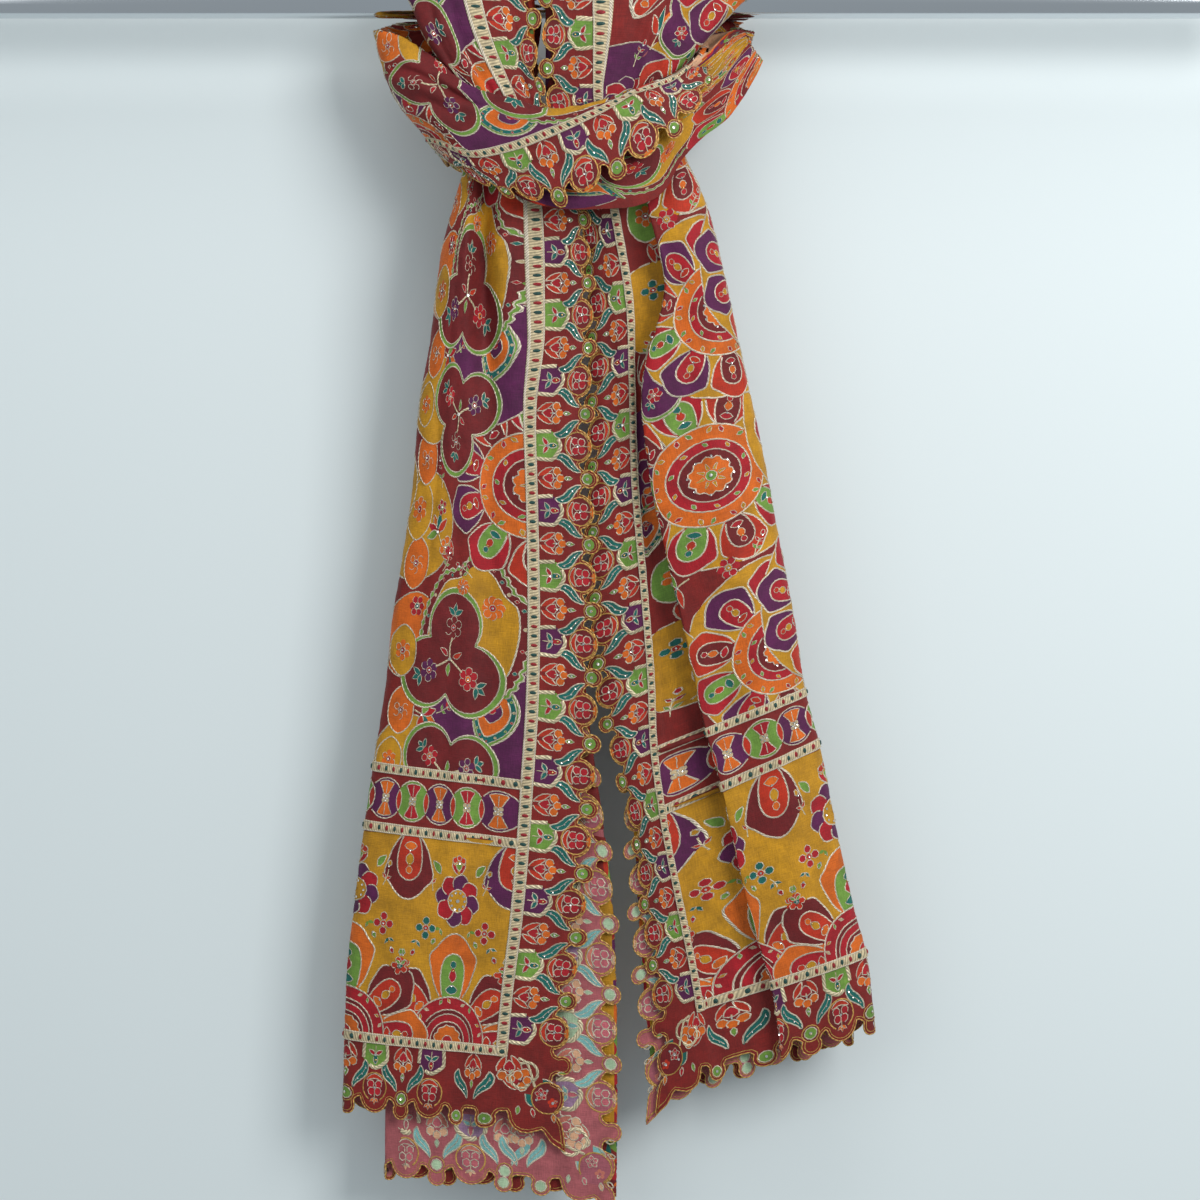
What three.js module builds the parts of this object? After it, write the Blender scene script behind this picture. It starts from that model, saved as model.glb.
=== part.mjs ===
// An embroidered dupatta, folded lengthwise in four and hung on a rail in a cow hitch.
// Millimetres, +Z up. Origin: on the rail's axis above the knot. The rail runs along X and the cloth's face looks along -Y.
// The tables are drawn on a grid of 0.8 mm squares: x grows to the right (575 is the middle of the knot), y grows downward (-2 is the rail's axis).
import * as THREE from 'three'

const GRID = 0.8 // mm per grid square
const GRID_X0 = 575 // grid x of the middle of the knot
const GRID_Y0 = -2 // grid y of the rail's axis
const WALL = 1.2 // cloth with its embroidery, thread to thread
const SEAM = 0.4 // gap where one stretch of cloth ends and the next begins

const CLOTH_WIDTH = 760 // flat width, long edge to long edge
const QUARTER = CLOTH_WIDTH / 4 // one of the four lengthwise layers
const SIDE_BRAID = 54 // flat distance from a long edge to its braid
const HEM_BRAID = 62 // flat distance from an end hem to its braid
const PANEL_BRAIDS = [229, 276] // flat distances from the end hem to the two braids of the wheel band
const BRAID_WIDTH = 8.4
const BRAID_HEIGHT = 1.1
const SCALLOP_PITCH = 52 // big lobe to big lobe along a long edge
const HEM_PITCH = 52.9 // the same along an end hem
const NOTCH = 15.5 // depth of the notches between the lobes

const RAIL_RADIUS = 12.5
const RAIL_WALL = 1.5
const RAIL_LENGTH = 1100
const WRAP_RADIUS = 13.7 // innermost cloth over the rail
const WRAP_MID = 20 // radius on which the length over the rail is counted

const gx = (x) => (x - GRID_X0) * GRID
const gz = (y) => (GRID_Y0 - y) * GRID

// ---------- interpolation ----------
const span = (xs, x) => {
  let i = 0
  while (i < xs.length - 2 && x > xs[i + 1]) i++
  return i
}
const hermite = (x0, x1, y0, y1, m0, m1, x) => {
  const h = x1 - x0
  const t = (x - x0) / h
  const t2 = t * t
  const t3 = t2 * t
  return (2 * t3 - 3 * t2 + 1) * y0 + (t3 - 2 * t2 + t) * h * m0 + (3 * t2 - 2 * t3) * y1 + (t3 - t2) * h * m1
}
// Smooth curve through the points, with slopes from three neighbours.
const smooth = (xs, ys, x) => {
  const n = xs.length
  const i = span(xs, x)
  const slope = (k) => {
    if (k === 0) return (ys[1] - ys[0]) / (xs[1] - xs[0])
    if (k === n - 1) return (ys[k] - ys[k - 1]) / (xs[k] - xs[k - 1])
    const a = xs[k] - xs[k - 1]
    const b = xs[k + 1] - xs[k]
    return (((ys[k] - ys[k - 1]) / a) * b + ((ys[k + 1] - ys[k]) / b) * a) / (a + b)
  }
  return hermite(xs[i], xs[i + 1], ys[i], ys[i + 1], slope(i), slope(i + 1), x)
}
// Curve through the points that never overshoots them, for folds.
const tight = (xs, ys, x) => {
  const n = xs.length
  const i = span(xs, x)
  const d = (k) => (ys[k + 1] - ys[k]) / (xs[k + 1] - xs[k])
  const slope = (k) => {
    if (k === 0) return d(0)
    if (k === n - 1) return d(n - 2)
    const p = d(k - 1)
    const q = d(k)
    if (p * q <= 0) return 0
    const a = xs[k] - xs[k - 1]
    const b = xs[k + 1] - xs[k]
    return (3 * (a + b)) / ((2 * b + a) / p + (b + 2 * a) / q)
  }
  return hermite(xs[i], xs[i + 1], ys[i], ys[i + 1], slope(i), slope(i + 1), x)
}

// ---------- the two hanging strands: tail, rise in front of the rail, turn over it ----------
// One row per level, s mm of cloth above the end hem. y0, y1: level of the braid and of the outer fold.
// x: edge E, braid B, pleat start C, pleat floor D, pleat nose N, outer fold O. d: how far each stands off the back of the bundle.
// tD, tN, tO: flat distances of D, N and O from the long edge. k: inner fold of the two rear layers. f: their outer fold. e: rear long edge.
const COLUMNS = ['s', 'y0', 'y1', 'E', 'B', 'C', 'D', 'N', 'O', 'dE', 'dB', 'dC', 'dD', 'dN', 'dM', 'dO', 'tD', 'tN', 'tO', 'k', 'f', 'e', 'g']
const LEFT = [
  [0, 1131, 1117, 570, 494, 478, 455, 430, 350, 15, 17, 18, 17, 19, 18, 14, 90, 112, 190, 616, 383, 622, 4.0],
  [62, 1053, 1038, 572, 501.5, 486, 462, 436, 352, 15, 17, 18, 17, 20, 18, 14, 88, 112, 190, 617, 384, 622, 4.0],
  [110, 993, 977, 577, 507, 492, 468, 442, 354, 16, 18, 18, 16, 20, 19, 14, 86, 112, 190, 617, 385, 622, 4.0],
  [164, 926, 909, 588, 515.5, 499, 474, 449, 361, 16, 18, 19, 16, 21, 20, 15, 85, 110, 190, 616, 388, 621, 4.0],
  [229, 845, 827, 595, 523, 506, 480, 455, 371, 17, 19, 19, 16, 21, 20, 15, 84, 108, 190, 612, 392, 618, 4.0],
  [276, 786, 768, 599, 527, 510, 484, 459, 379, 18, 20, 20, 16, 22, 21, 15, 83, 107, 190, 604, 398, 610, 4.0],
  [345, 700, 686, 602, 532.5, 515, 489, 463, 391, 19, 20, 21, 17, 23, 22, 16, 82, 107, 190, 590, 406, 594, 4.0],
  [401, 630, 620, 602, 534, 517, 492, 466, 397, 20, 21, 22, 18, 24, 23, 16, 82, 107, 190, 582, 412, 584, 4.0],
  [456, 561, 555, 600, 533.5, 517, 492, 468, 407, 21, 22, 23, 19, 24, 24, 17, 82, 107, 190, 580, 420, 581, 4.0],
  [511, 492, 488, 598, 532, 516, 491, 468, 416, 22, 23, 24, 20, 25, 25, 17, 82, 107, 190, 578, 428, 580, 4.0],
  [585, 400, 398, 595, 531, 512, 488, 466, 423, 22, 24, 26, 20, 27, 26, 18, 86, 112, 190, 577, 436, 579, 4.0],
  [633, 340, 340, 597, 538, 512, 486, 465, 433, 22, 25, 28, 15, 29, 28, 19, 92, 122, 190, 576, 444, 578, 4.0],
  [674, 289, 289, 596, 538, 508, 484.5, 466, 439, 22, 25, 30, 14, 31, 30, 20, 96, 128, 190, 575, 450, 577, 4.0],
  [713, 243, 243, 593, 537.5, 505, 483.5, 467, 446, 22, 25, 30, 14, 31, 29, 20, 98, 130, 188, 574, 456, 576, 4.0],
  [748, 199, 199, 588, 535, 506, 488, 474, 458, 20, 21, 23, 13, 24, 23, 17, 94, 122, 172, 572, 466, 574, 3.6],
  [784, 154, 154, 578, 528, 508, 495, 484, 470, 15, 16, 17, 12, 17.5, 17, 14, 84, 104, 142, 566, 476, 568, 3.3],
  [827, 98, 98, 548, 512, 501, 493, 486, 468, 14, 15, 16, 13.5, 16, 15, 13, 68, 80, 112, 540, 474, 541, 3.3],
  [845, 75, 75, 541.5, 501, 490, 480, 471, 453, 12.5, 13.5, 14.5, 12.5, 14.5, 14, 12, 66, 79, 106, 534, 460, 535, 3.2],
  [876, 36, 36, 541.5, 484.5, 472, 460, 450, 427.5, 12, 12.8, 13.6, 11.4, 14, 13.6, 11.6, 66, 80, 110, 534, 436, 535, 3.2],
  [906, -2, -2, 541.5, 474, 461, 449, 437, 411, 12, 12.8, 13.4, 11.2, 14, 13.4, 11.4, 66, 82, 116, 534, 420, 535, 3.2],
  [938, -2, -2, 543, 475, 461, 448, 435, 405, 12, 12.8, 13.4, 11.4, 13.8, 13.4, 11.4, 68, 86, 122, 536, 414, 537, 3.2],
  [969, -2, -2, 547, 480, 465, 450, 436, 404, 12, 12.8, 13.2, 11.6, 13.6, 13.2, 11.4, 70, 88, 128, 540, 413, 541, 3.2],
  [978, 9.2, 9.2, 548, 481, 466, 451, 437, 404, 12, 12.8, 13.2, 11.8, 13.6, 13.2, 11.4, 70, 88, 130, 541, 413, 542, 3.2],
]
const RIGHT = [
  [0, 1085, 1038, 652, 712, 722, 784, 782, 868, 12, 17, 15, 19, 29, 28, 20, 106, 112, 190, 656, 856, 642, 4.0],
  [62, 1008, 957, 652, 700, 709, 776, 771, 858, 12, 18, 15, 19, 30, 29, 21, 104, 112, 190, 648, 846, 636, 4.0],
  [100, 963, 912, 647, 692, 700, 764, 758, 846, 12, 18, 15, 19, 31, 30, 21, 102, 111, 190, 644, 834, 632, 4.0],
  [150, 905, 853, 640, 680, 688, 750, 743, 833, 12, 18, 15, 19, 32, 32, 22, 100, 110, 190, 640, 821, 628, 4.0],
  [229, 812, 747, 628, 662, 670, 731, 721, 812, 12, 18, 15, 19, 33, 34, 23, 95, 108, 190, 634, 800, 622, 4.0],
  [276, 753, 695, 612, 654, 662, 718, 706, 799, 12, 19, 15, 19, 34, 35, 24, 92, 107, 190, 628, 787, 616, 4.0],
  [340, 678, 625, 592, 651, 658, 705, 691, 789, 11, 18, 15, 19, 35, 37, 25, 89, 106, 190, 618, 776, 611, 4.0],
  [420, 580, 535, 585, 643.5, 651, 687, 670, 773, 10, 17, 15, 19, 35, 38, 26, 86, 105, 190, 611, 759, 608, 4.0],
  [500, 482, 445, 584, 635, 643, 670, 650, 757, 10, 17, 15, 19, 36, 39, 27, 83, 104, 190, 609, 742, 607, 4.0],
  [580, 383, 352, 584, 632, 639, 662, 643, 737, 10, 17, 15.5, 19, 36, 39, 27, 84, 108, 190, 608, 722, 606, 4.0],
  [650, 298, 275, 584, 629, 639, 680, 666, 721, 10, 18, 16, 19, 37, 38, 27, 97, 130, 190, 607, 706, 605, 4.0],
  [710, 222, 205, 580, 616, 628, 661, 650, 703, 11, 18, 15.5, 18, 32, 33, 24, 98, 132, 186, 604, 688, 602, 4.0],
  [757, 163, 152, 570, 606, 618, 640, 642, 680, 13, 15, 14, 14.5, 19, 20, 16, 92, 116, 160, 596, 668, 595, 3.4],
  [816, 92, 88, 541, 598, 611, 632, 640, 664, 12.5, 14, 14.5, 13, 15.5, 15, 13, 78, 92, 124, 547, 655, 546, 3.3],
  [840, 62, 60, 538.5, 599, 619, 646, 664, 686, 12, 13.4, 14, 12, 15, 14.5, 12.4, 90, 106, 134, 546, 676, 545, 3.2],
  [864, 32, 30, 538.5, 600, 628, 664, 684, 712, 12, 12.8, 13.8, 11.6, 14.6, 14, 12, 106, 124, 152, 546, 702, 545, 3.2],
  [890, -2, -2, 538.5, 600, 636, 690, 708, 744, 12, 12.8, 13.4, 11.4, 14.2, 13.4, 11.4, 126, 144, 176, 546, 734, 545, 3.2],
  [922, -2, -2, 541, 602, 637, 690, 708, 748, 12, 12.8, 13.4, 11.6, 13.8, 13.4, 11.4, 126, 144, 178, 549, 738, 548, 3.2],
  [953, -2, -2, 552, 608, 640, 690, 708, 748, 12, 12.8, 13.2, 11.8, 13.6, 13.2, 11.4, 124, 142, 178, 560, 738, 559, 3.2],
  [962, 9.2, 9.2, 553, 609, 641, 690, 708, 748, 12, 12.8, 13.2, 11.8, 13.6, 13.2, 11.4, 124, 142, 178, 561, 738, 560, 3.2],
]
// Back plane of the bundle, by height.
const BACK_Z = [-970, -700, -400, -240, -170, -120, -70, -30, 0]
const BACK_Y = [9, 8, 6, 3, -2, -8, -12, -14.4, -14.4]
// Rear layers hang lower than the front ones towards the end.
const REAR_DROP = { left: 52, right: 6 }
const REAR_FROM = { left: 640, right: 400 }

const columnsOf = (rows) => COLUMNS.map((_, i) => rows.map((r) => r[i]))
const STRANDS = {
  left: { side: -1, cols: columnsOf(LEFT), rail: 906, back: 969 },
  right: { side: 1, cols: columnsOf(RIGHT), rail: 890, back: 953 },
}
const soft = (a, b, x) => {
  const t = Math.min(1, Math.max(0, (x - a) / (b - a)))
  return t * t * (3 - 2 * t)
}

// A point on the middle of the wall: s mm above the end hem, t mm in from the front long edge.
const rowCache = new Map()
const rowAt = (name, s) => {
  const key = name + s.toFixed(3)
  if (rowCache.has(key)) return rowCache.get(key)
  const { cols, side } = STRANDS[name]
  const r = {}
  COLUMNS.forEach((c, i) => { r[c] = i === 0 ? s : smooth(cols[0], cols[i], s) })
  const lean = (2.5 + 5 * soft(720, 0, s)) * side // the outer fold bulges past its front crease
  const tM = (r.tN + r.tO) / 2
  const g = r.g
  const wave = 5 * soft(760, 600, s) // the back layer's own soft folds
  const tails = [
    ['E', 0, gx(r.E), r.dE],
    ['B', SIDE_BRAID, gx(r.B), r.dB],
    ['C', SIDE_BRAID + Math.min(10, (r.tD - SIDE_BRAID) * 0.4), gx(r.C), r.dC],
    ['D', r.tD, gx(r.D), r.dD],
    ['N', r.tN, gx(r.N), r.dN],
    ['M', tM, (gx(r.N) + gx(r.O)) / 2, r.dM],
    ['O', r.tO, gx(r.O), r.dO],
    ['P', r.tO + 8, gx(r.O) + lean, (r.dO + 0.5) / 2],
    ['Q', r.tO + 18, gx(r.O) + lean * 0.3, 0.6],
    ['R', 250, gx(r.O) + (gx(r.k) - gx(r.O)) * 0.27, 0.6 - wave],
    ['S', 300, gx(r.O) + (gx(r.k) - gx(r.O)) * 0.56, 0.6 - wave * 0.1],
    ['T', 345, gx(r.O) + (gx(r.k) - gx(r.O)) * 0.8, 0.6 - wave * 0.8],
    ['U', 374, gx(r.k) + side * 4, 0.6],
    ['V', 380, gx(r.k), 0.6 + g * 0.5],
    ['W', 386, gx(r.k) + side * 4, 0.6 + g],
    ['X', 470, (gx(r.k) + gx(r.f)) / 2, 0.6 + g * 0.95],
    ['Y', 564, gx(r.f) - side * 4, 0.6 + g],
    ['Z', 570, gx(r.f), 0.6 + g * 1.5],
    ['a', 576, gx(r.f) - side * 4, 0.6 + g * 2],
    ['b', 670, (gx(r.e) + gx(r.f)) / 2, 0.6 + g * 2.05],
    ['c', 760, gx(r.e), 0.6 + g * 2],
  ]
  const row = { r, ts: tails.map((q) => q[1]), xs: tails.map((q) => q[2]), ds: tails.map((q) => q[3]) }
  rowCache.set(key, row)
  return row
}
const strandPoint = (name, s, t) => {
  const st = STRANDS[name]
  const { r, ts, xs, ds } = rowAt(name, s)
  const x = t < 0 ? gx(r.E) + (st.side * t * (gx(r.B) - gx(r.E)) * st.side) / SIDE_BRAID : tight(ts, xs, t)
  let d = tight(ts, ds, Math.max(0, t))
  const front = soft(186, 176, t) * soft(760, 700, s)
  d += front * 0.7 * Math.sin(s * 0.021 + t * 0.055) * Math.sin(t * 0.03 + 0.4)
  const tilt = (gz(r.y1) - gz(r.y0)) / (gx(r.O) - gx(r.B))
  let z = gz(r.y0) + tilt * (x - gx(r.B))
  const rear = t <= 204 ? 0 : t < 380 ? soft(204, 380, t) : 1
  z -= REAR_DROP[name] * rear * soft(REAR_FROM[name], 0, s)
  if (s < 0) z += s // below the lowest row
  if (s <= st.rail) {
    const yb = smooth(BACK_Z, BACK_Y, Math.max(-970, Math.min(0, z)))
    return new THREE.Vector3(x, yb - d, Math.min(z, 0))
  }
  const a = Math.min((s - st.rail) / WRAP_MID, Math.PI)
  const over = Math.max(0, s - st.back)
  const R = WRAP_RADIUS + d
  return new THREE.Vector3(x, -R * Math.cos(a), R * Math.sin(a) - over)
}

// ---------- the loop: from behind the rail, round the left side, across the front, round the right side, back up behind the rail ----------
// One row per rib. e, b, o: long edge, braid and upper fold of the front layer; r, c: upper and lower fold of the rear layers; each as x, y and depth Y.
// h: how far the layers swell between their folds. tO: flat distance at o. g: gap from layer to layer.
const RIB_COLUMNS = ['ex', 'ey', 'eY', 'bx', 'by', 'bY', 'ox', 'oy', 'oY', 'rx', 'ry', 'rY', 'cx', 'cy', 'cY', 'h', 'tO', 'g']
const RIBS = [
  [548, 11.2, 27.4, 481, 11.2, 28.2, 404, 11.2, 26.8, 409, 11.2, 27.4, 541, 11.2, 27.4, 0.6, 130, 3.2],
  [541, 50, 27.5, 466, 38, 29.0, 391, 14, 26.0, 395, 16, 26.5, 534, 52, 27.0, 2.0, 146, 3.2],
  [522, 98, 26.5, 450, 72, 28.0, 380, 19, 22.0, 384, 24, 22.0, 512, 98, 26.0, 4.0, 165, 3.2],
  [484, 140, 21.0, 432, 102, 20.0, 374, 24, 12.0, 378, 34, 12.5, 470, 128, 20.5, 6.0, 182, 3.2],
  [450, 163, 5.0, 427, 133, 4.0, 371, 29, -1.0, 376, 44, -1.0, 436, 142, 4.5, 8.0, 190, 3.0],
  [453, 168, -20.0, 430, 140, -20.0, 376, 31, -12.0, 384, 56, -14.0, 440, 148, -16.0, 8.0, 190, 3.0],
  [474, 184, -41.0, 448, 150, -39.0, 398, 36, -17.0, 412, 86, -28.0, 462, 160, -38.0, 6.0, 176, 3.0],
  [503, 200, -46.0, 474, 160, -48.0, 430, 56, -22.0, 452, 116, -40.0, 492, 184, -43.5, 6.0, 150, 3.0],
  [536, 210, -51.0, 512, 154, -54.0, 468, 89, -38.0, 488, 126, -47.0, 528, 206, -48.0, 4.0, 120, 3.0],
  [568, 213, -54.0, 546, 142, -57.0, 512, 105, -49.0, 520, 124, -50.0, 564, 214, -50.5, 2.0, 96, 3.0],
  [600, 197, -56.0, 576, 130, -58.0, 550, 116, -52.5, 560, 122, -52.5, 602, 214, -51.5, 1.5, 78, 3.0],
  [631, 180, -56.5, 604, 117, -58.5, 586, 112, -53.5, 594, 117, -53.5, 636, 211, -51.0, 1.0, 70, 3.0],
  [662, 158, -55.0, 630, 103, -57.0, 618, 103, -52.5, 626, 110, -52.5, 664, 196, -47.5, 1.0, 68, 3.0],
  [686, 134, -50.5, 652, 95, -53.5, 648, 92, -49.0, 652, 98, -49.5, 682, 165, -40.0, 1.0, 66, 3.0],
  [704, 106, -42.0, 674, 84, -46.0, 676, 78, -42.0, 678, 80, -42.5, 705, 139, -25.0, 1.0, 65, 3.0],
  [713, 80, -31.0, 693, 65, -33.0, 698, 58, -29.0, 710, 52, -30.0, 731, 117, -12.0, 1.0, 65, 3.0],
  [715, 58, -13.0, 699, 47, -9.0, 703, 42, -7.0, 728, 30, -17.0, 752, 86, -3.0, 1.0, 65, 3.0],
  [700, 46, 2.0, 686, 36, 2.0, 692, 31, 1.0, 744, 23, -6.0, 768, 52, 4.0, 1.0, 66, 3.0],
  [668, 44, 18.0, 682, 31, 17.0, 706, 27, 14.5, 760, 24, 8.0, 740, 76, 14.0, 2.0, 90, 3.0],
  [616, 36, 26.0, 648, 24, 26.5, 730, 20, 24.0, 752, 19, 22.0, 668, 62, 24.0, 2.0, 130, 3.1],
  [553, 11.2, 27.4, 609, 11.2, 28.2, 748, 11.2, 26.8, 744, 11.2, 27.4, 561, 11.2, 27.4, 0.6, 178, 3.2],
]
const ribCols = RIB_COLUMNS.map((_, i) => RIBS.map((r) => r[i]))
const ribKeys = RIBS.map((_, i) => i)
const ribCache = new Map()
const ribAt = (u) => {
  const key = u.toFixed(4)
  if (ribCache.has(key)) return ribCache.get(key)
  const q = {}
  RIB_COLUMNS.forEach((c, i) => { q[c] = smooth(ribKeys, ribCols[i], u) })
  const at = (p) => new THREE.Vector3(gx(q[p + 'x']), q[p + 'Y'], gz(q[p + 'y']))
  const rib = { q, E: at('e'), B: at('b'), O: at('o'), R: at('r'), C: at('c') }
  ribCache.set(key, rib)
  return rib
}
const loopInward = (u) => {
  const lo = ribAt(Math.max(0, u - 0.5))
  const hi = ribAt(Math.min(RIBS.length - 1, u + 0.5))
  const mid = ribAt(u)
  const along = hi.R.clone().add(hi.C).sub(lo.R).sub(lo.C)
  const across = mid.R.clone().sub(mid.C)
  return across.cross(along).normalize()
}
// Creases that fan out over the left and right shoulders: position across the layer, width, depth, and the ribs they run over.
const CREASES = [
  { at: 0.82, width: 0.07, depth: 5.5, from: 4.6, to: 8.4 },
  { at: 0.6, width: 0.06, depth: 4.0, from: 4.2, to: 7.6 },
  { at: 0.36, width: 0.06, depth: 3.0, from: 4.4, to: 7.0 },
  { at: 0.75, width: 0.09, depth: 3.0, from: 0.6, to: 3.6 },
  { at: 0.45, width: 0.09, depth: 3.5, from: 0.6, to: 3.4 },
]
const LOOP_REAR = 380 // the loop's rear layer ends here: the two layers pinched inside it aren't built
const loopPoint = (u, t) => {
  const { q, E, B, O, R, C } = ribAt(u)
  const n = loopInward(u)
  const tM = (SIDE_BRAID + q.tO) / 2
  const off = (p, k) => p.clone().addScaledVector(n, k)
  const M = off(B.clone().lerp(O, 0.5), -q.h)
  const rear = (w, k) => off(R.clone().lerp(C, w), k - q.h * 3 * w * (1 - w))
  const g = q.g
  const down = R.clone().lerp(C, 0.3).sub(O).normalize()
  const pts = [
    [0, E, 0], [SIDE_BRAID, B, 0.3], [tM, M, 0.65], [q.tO - 5, O.clone().addScaledVector(down, 5), 1], [q.tO, off(O.clone().addScaledVector(down, -1), g * 0.6), 1],
    [q.tO + 5, off(O.clone().addScaledVector(down, 5), g * 1.3), 1], [q.tO + 18, rear(0.06, g * 1.5), 0.97], [290, rear(0.5, g * 1.5 + 0.8), 0.5], [LOOP_REAR, rear(1, g * 1.5), 0],
  ]
  const ts = pts.map((p) => p[0])
  const c = ['x', 'y', 'z'].map((k) => tight(ts, pts.map((p) => p[1][k]), Math.max(0, t)))
  const v = tight(ts, pts.map((p) => p[2]), Math.max(0, t))
  const P = new THREE.Vector3(...c)
  for (const k of CREASES) {
    const reach = soft(k.from, k.from + 1.2, u) * soft(k.to, k.to - 1.2, u)
    if (reach > 0) P.addScaledVector(n, k.depth * reach * Math.exp(-(((v - k.at) / k.width) ** 2)) * soft(1, 0.92, v))
  }
  return P
}
// Length of cloth along the loop, by rib.
const ribLength = [0]
for (let i = 1; i < RIBS.length; i++) {
  const a = ribAt(i - 1)
  const b = ribAt(i)
  ribLength.push(ribLength[i - 1] + (a.B.distanceTo(b.B) + a.E.distanceTo(b.E) + a.O.distanceTo(b.O)) / 3)
}

// ---------- scalloped edges, as flat points (distance along, distance in from the edge) ----------
const SMALL_LOBE = [[-6.8, 5.5], [0, 0], [6.8, 5.5]]
const BIG_LOBE = [[-9.8, 7.8], [0, 4], [9.8, 7.8]]
// Each edge is a base line of notch points, with a fan of lobe points outside it. from, to: how far the base line runs.
const scallops = (lobes) => {
  const base = []
  const fans = []
  lobes.forEach(([at, kind], i) => {
    const mid = (other, sign) => (!other ? at + sign * 14.5 : kind === other[1] ? (at + other[0]) / 2 : kind === 'big' ? at + sign * 14.5 : other[0] - sign * 14.5)
    if (i === 0) base.push([mid(null, -1), NOTCH])
    base.push([mid(lobes[i + 1], 1), NOTCH])
    fans.push((kind === 'big' ? BIG_LOBE : SMALL_LOBE).map(([a, d]) => [at + a, d]))
  })
  return { base, fans }
}
const turned = ({ base, fans }, map, flip) => {
  const b = base.map(map)
  const f = fans.map((fan) => fan.map(map))
  return flip ? { base: b.reverse(), fans: f.reverse().map((x) => x.reverse()) } : { base: b, fans: f }
}
const joined = (...chains) => {
  // each chain's last base point is the next one's first
  const base = [...chains[0].base]
  const fans = [...chains[0].fans]
  for (const c of chains.slice(1)) {
    base.push(...c.base.slice(1))
    fans.push(...c.fans)
  }
  return { base, fans }
}
const plain = (points) => ({ base: points, fans: points.slice(1).map(() => []) })
const sideLobes = (from, to) => {
  const out = []
  for (let s = 54.8, big = false; s < to - 9; s += SCALLOP_PITCH / 2, big = !big) if (s > from + 9) out.push([s, big ? 'big' : 'small'])
  return out
}
const hemLobes = () => {
  const half = [[61, 'small'], [90, 'small']]
  for (let i = 0; i <= 5; i++) {
    half.push([115.5 + HEM_PITCH * i, 'big'])
    if (i < 5) half.push([115.5 + HEM_PITCH * (i + 0.5), 'small'])
  }
  const other = half.slice(0, -1).reverse().map(([at, k]) => [CLOTH_WIDTH - at, k])
  return [...half, ...other]
}
// One corner of the cloth: two round swells and a pointed tip between them, as [t, s].
const CORNER = {
  base: [[NOTCH, 40.3], [12.4, 14.8], [46.5, NOTCH]],
  fans: [[[8, 37], [6.5, 29], [8, 20]], [[5.6, 5], [4.5, -6.5], [17, -1.4], [25.5, 6.5], [35, 1.5], [43, 4]]],
}

// ---------- solids from flat points ----------
const between = (a, b, n) => Array.from({ length: n }, (_, i) => a + ((b - a) * i) / (n - 1))
// Triangles between an inner and an outer row of flat points that run the same way.
const zip = (flat, inner, outer, tris) => {
  let i = 0
  let j = 0
  const dist = (a, b) => Math.hypot(flat[a][0] - flat[b][0], flat[a][1] - flat[b][1])
  while (i < inner.length - 1 || j < outer.length - 1) {
    const stepOuter = i === inner.length - 1 || (j < outer.length - 1 && dist(inner[i], outer[j + 1]) <= dist(inner[i + 1], outer[j]))
    if (stepOuter) tris.push([inner[i], outer[j], outer[j + 1]]), j++
    else tris.push([inner[i], outer[j], inner[i + 1]]), i++
  }
}
const meshNormals = (pts, tris) => {
  const ns = pts.map(() => new THREE.Vector3())
  for (const [a, b, c] of tris) {
    const e1 = pts[b].clone().sub(pts[a])
    const e2 = pts[c].clone().sub(pts[a])
    const n = e1.cross(e2)
    for (const k of [a, b, c]) ns[k].add(n)
  }
  return ns.map((n) => n.normalize())
}
// A closed wall from a surface of triangles: lo and hi are the heights of its two faces over the surface.
const wallGeometry = (pts, normals, tris, lo, hi) => {
  const n = pts.length
  const pos = []
  pts.forEach((p, i) => pos.push(...p.clone().addScaledVector(normals[i], hi).toArray()))
  pts.forEach((p, i) => pos.push(...p.clone().addScaledVector(normals[i], lo).toArray()))
  const idx = []
  const edges = new Map()
  for (const [a, b, c] of tris) {
    idx.push(a, b, c, a + n, c + n, b + n)
    for (const [p, q] of [[a, b], [b, c], [c, a]]) edges.set(p + '_' + q, [p, q])
  }
  for (const [p, q] of edges.values()) if (!edges.has(q + '_' + p)) idx.push(p, p + n, q + n, p, q + n, q)
  const used = [...new Set(idx)].sort((x, y) => x - y)
  const map = new Map(used.map((v, i) => [v, i]))
  const g = new THREE.BufferGeometry()
  g.setAttribute('position', new THREE.Float32BufferAttribute(used.flatMap((v) => pos.slice(v * 3, v * 3 + 3)), 3))
  g.setIndex(idx.map((v) => map.get(v)))
  return g
}
// A sheet: a grid of flat points (t, s), a chain along its scalloped edges, and the surface they lie on.
const sheet = ({ point, rows, cols, around, sideA, sideB }) => {
  const flat = []
  const grid = rows.map((s) => cols.map((t) => flat.push([t, s]) - 1))
  const tris = []
  for (let r = 0; r < rows.length - 1; r++) {
    for (let c = 0; c < cols.length - 1; c++) {
      const [a, b, d, e] = [grid[r][c], grid[r][c + 1], grid[r + 1][c + 1], grid[r + 1][c]]
      tris.push([a, b, d], [a, d, e])
    }
  }
  const colA = grid.map((row) => row[0]).reverse()
  const colB = grid.map((row) => row[row.length - 1])
  const edge = (inner, { base, fans }) => {
    const ids = base.map((p) => flat.push(p) - 1)
    zip(flat, inner, ids, tris)
    fans.forEach((fan, k) => {
      const ring = [...fan.map((p) => flat.push(p) - 1), ids[k + 1]]
      for (let m = 0; m < ring.length - 1; m++) tris.push([ids[k], ring[m], ring[m + 1]])
    })
  }
  if (around) edge([...colA, ...grid[0].slice(1), ...colB.slice(1)], around)
  else {
    edge(colA, sideA)
    if (sideB) edge(colB, sideB)
  }
  const pts = flat.map(([t, s]) => point(s, t))
  return { flat, grid, tris, pts, normals: meshNormals(pts, tris), rows, cols }
}
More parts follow.
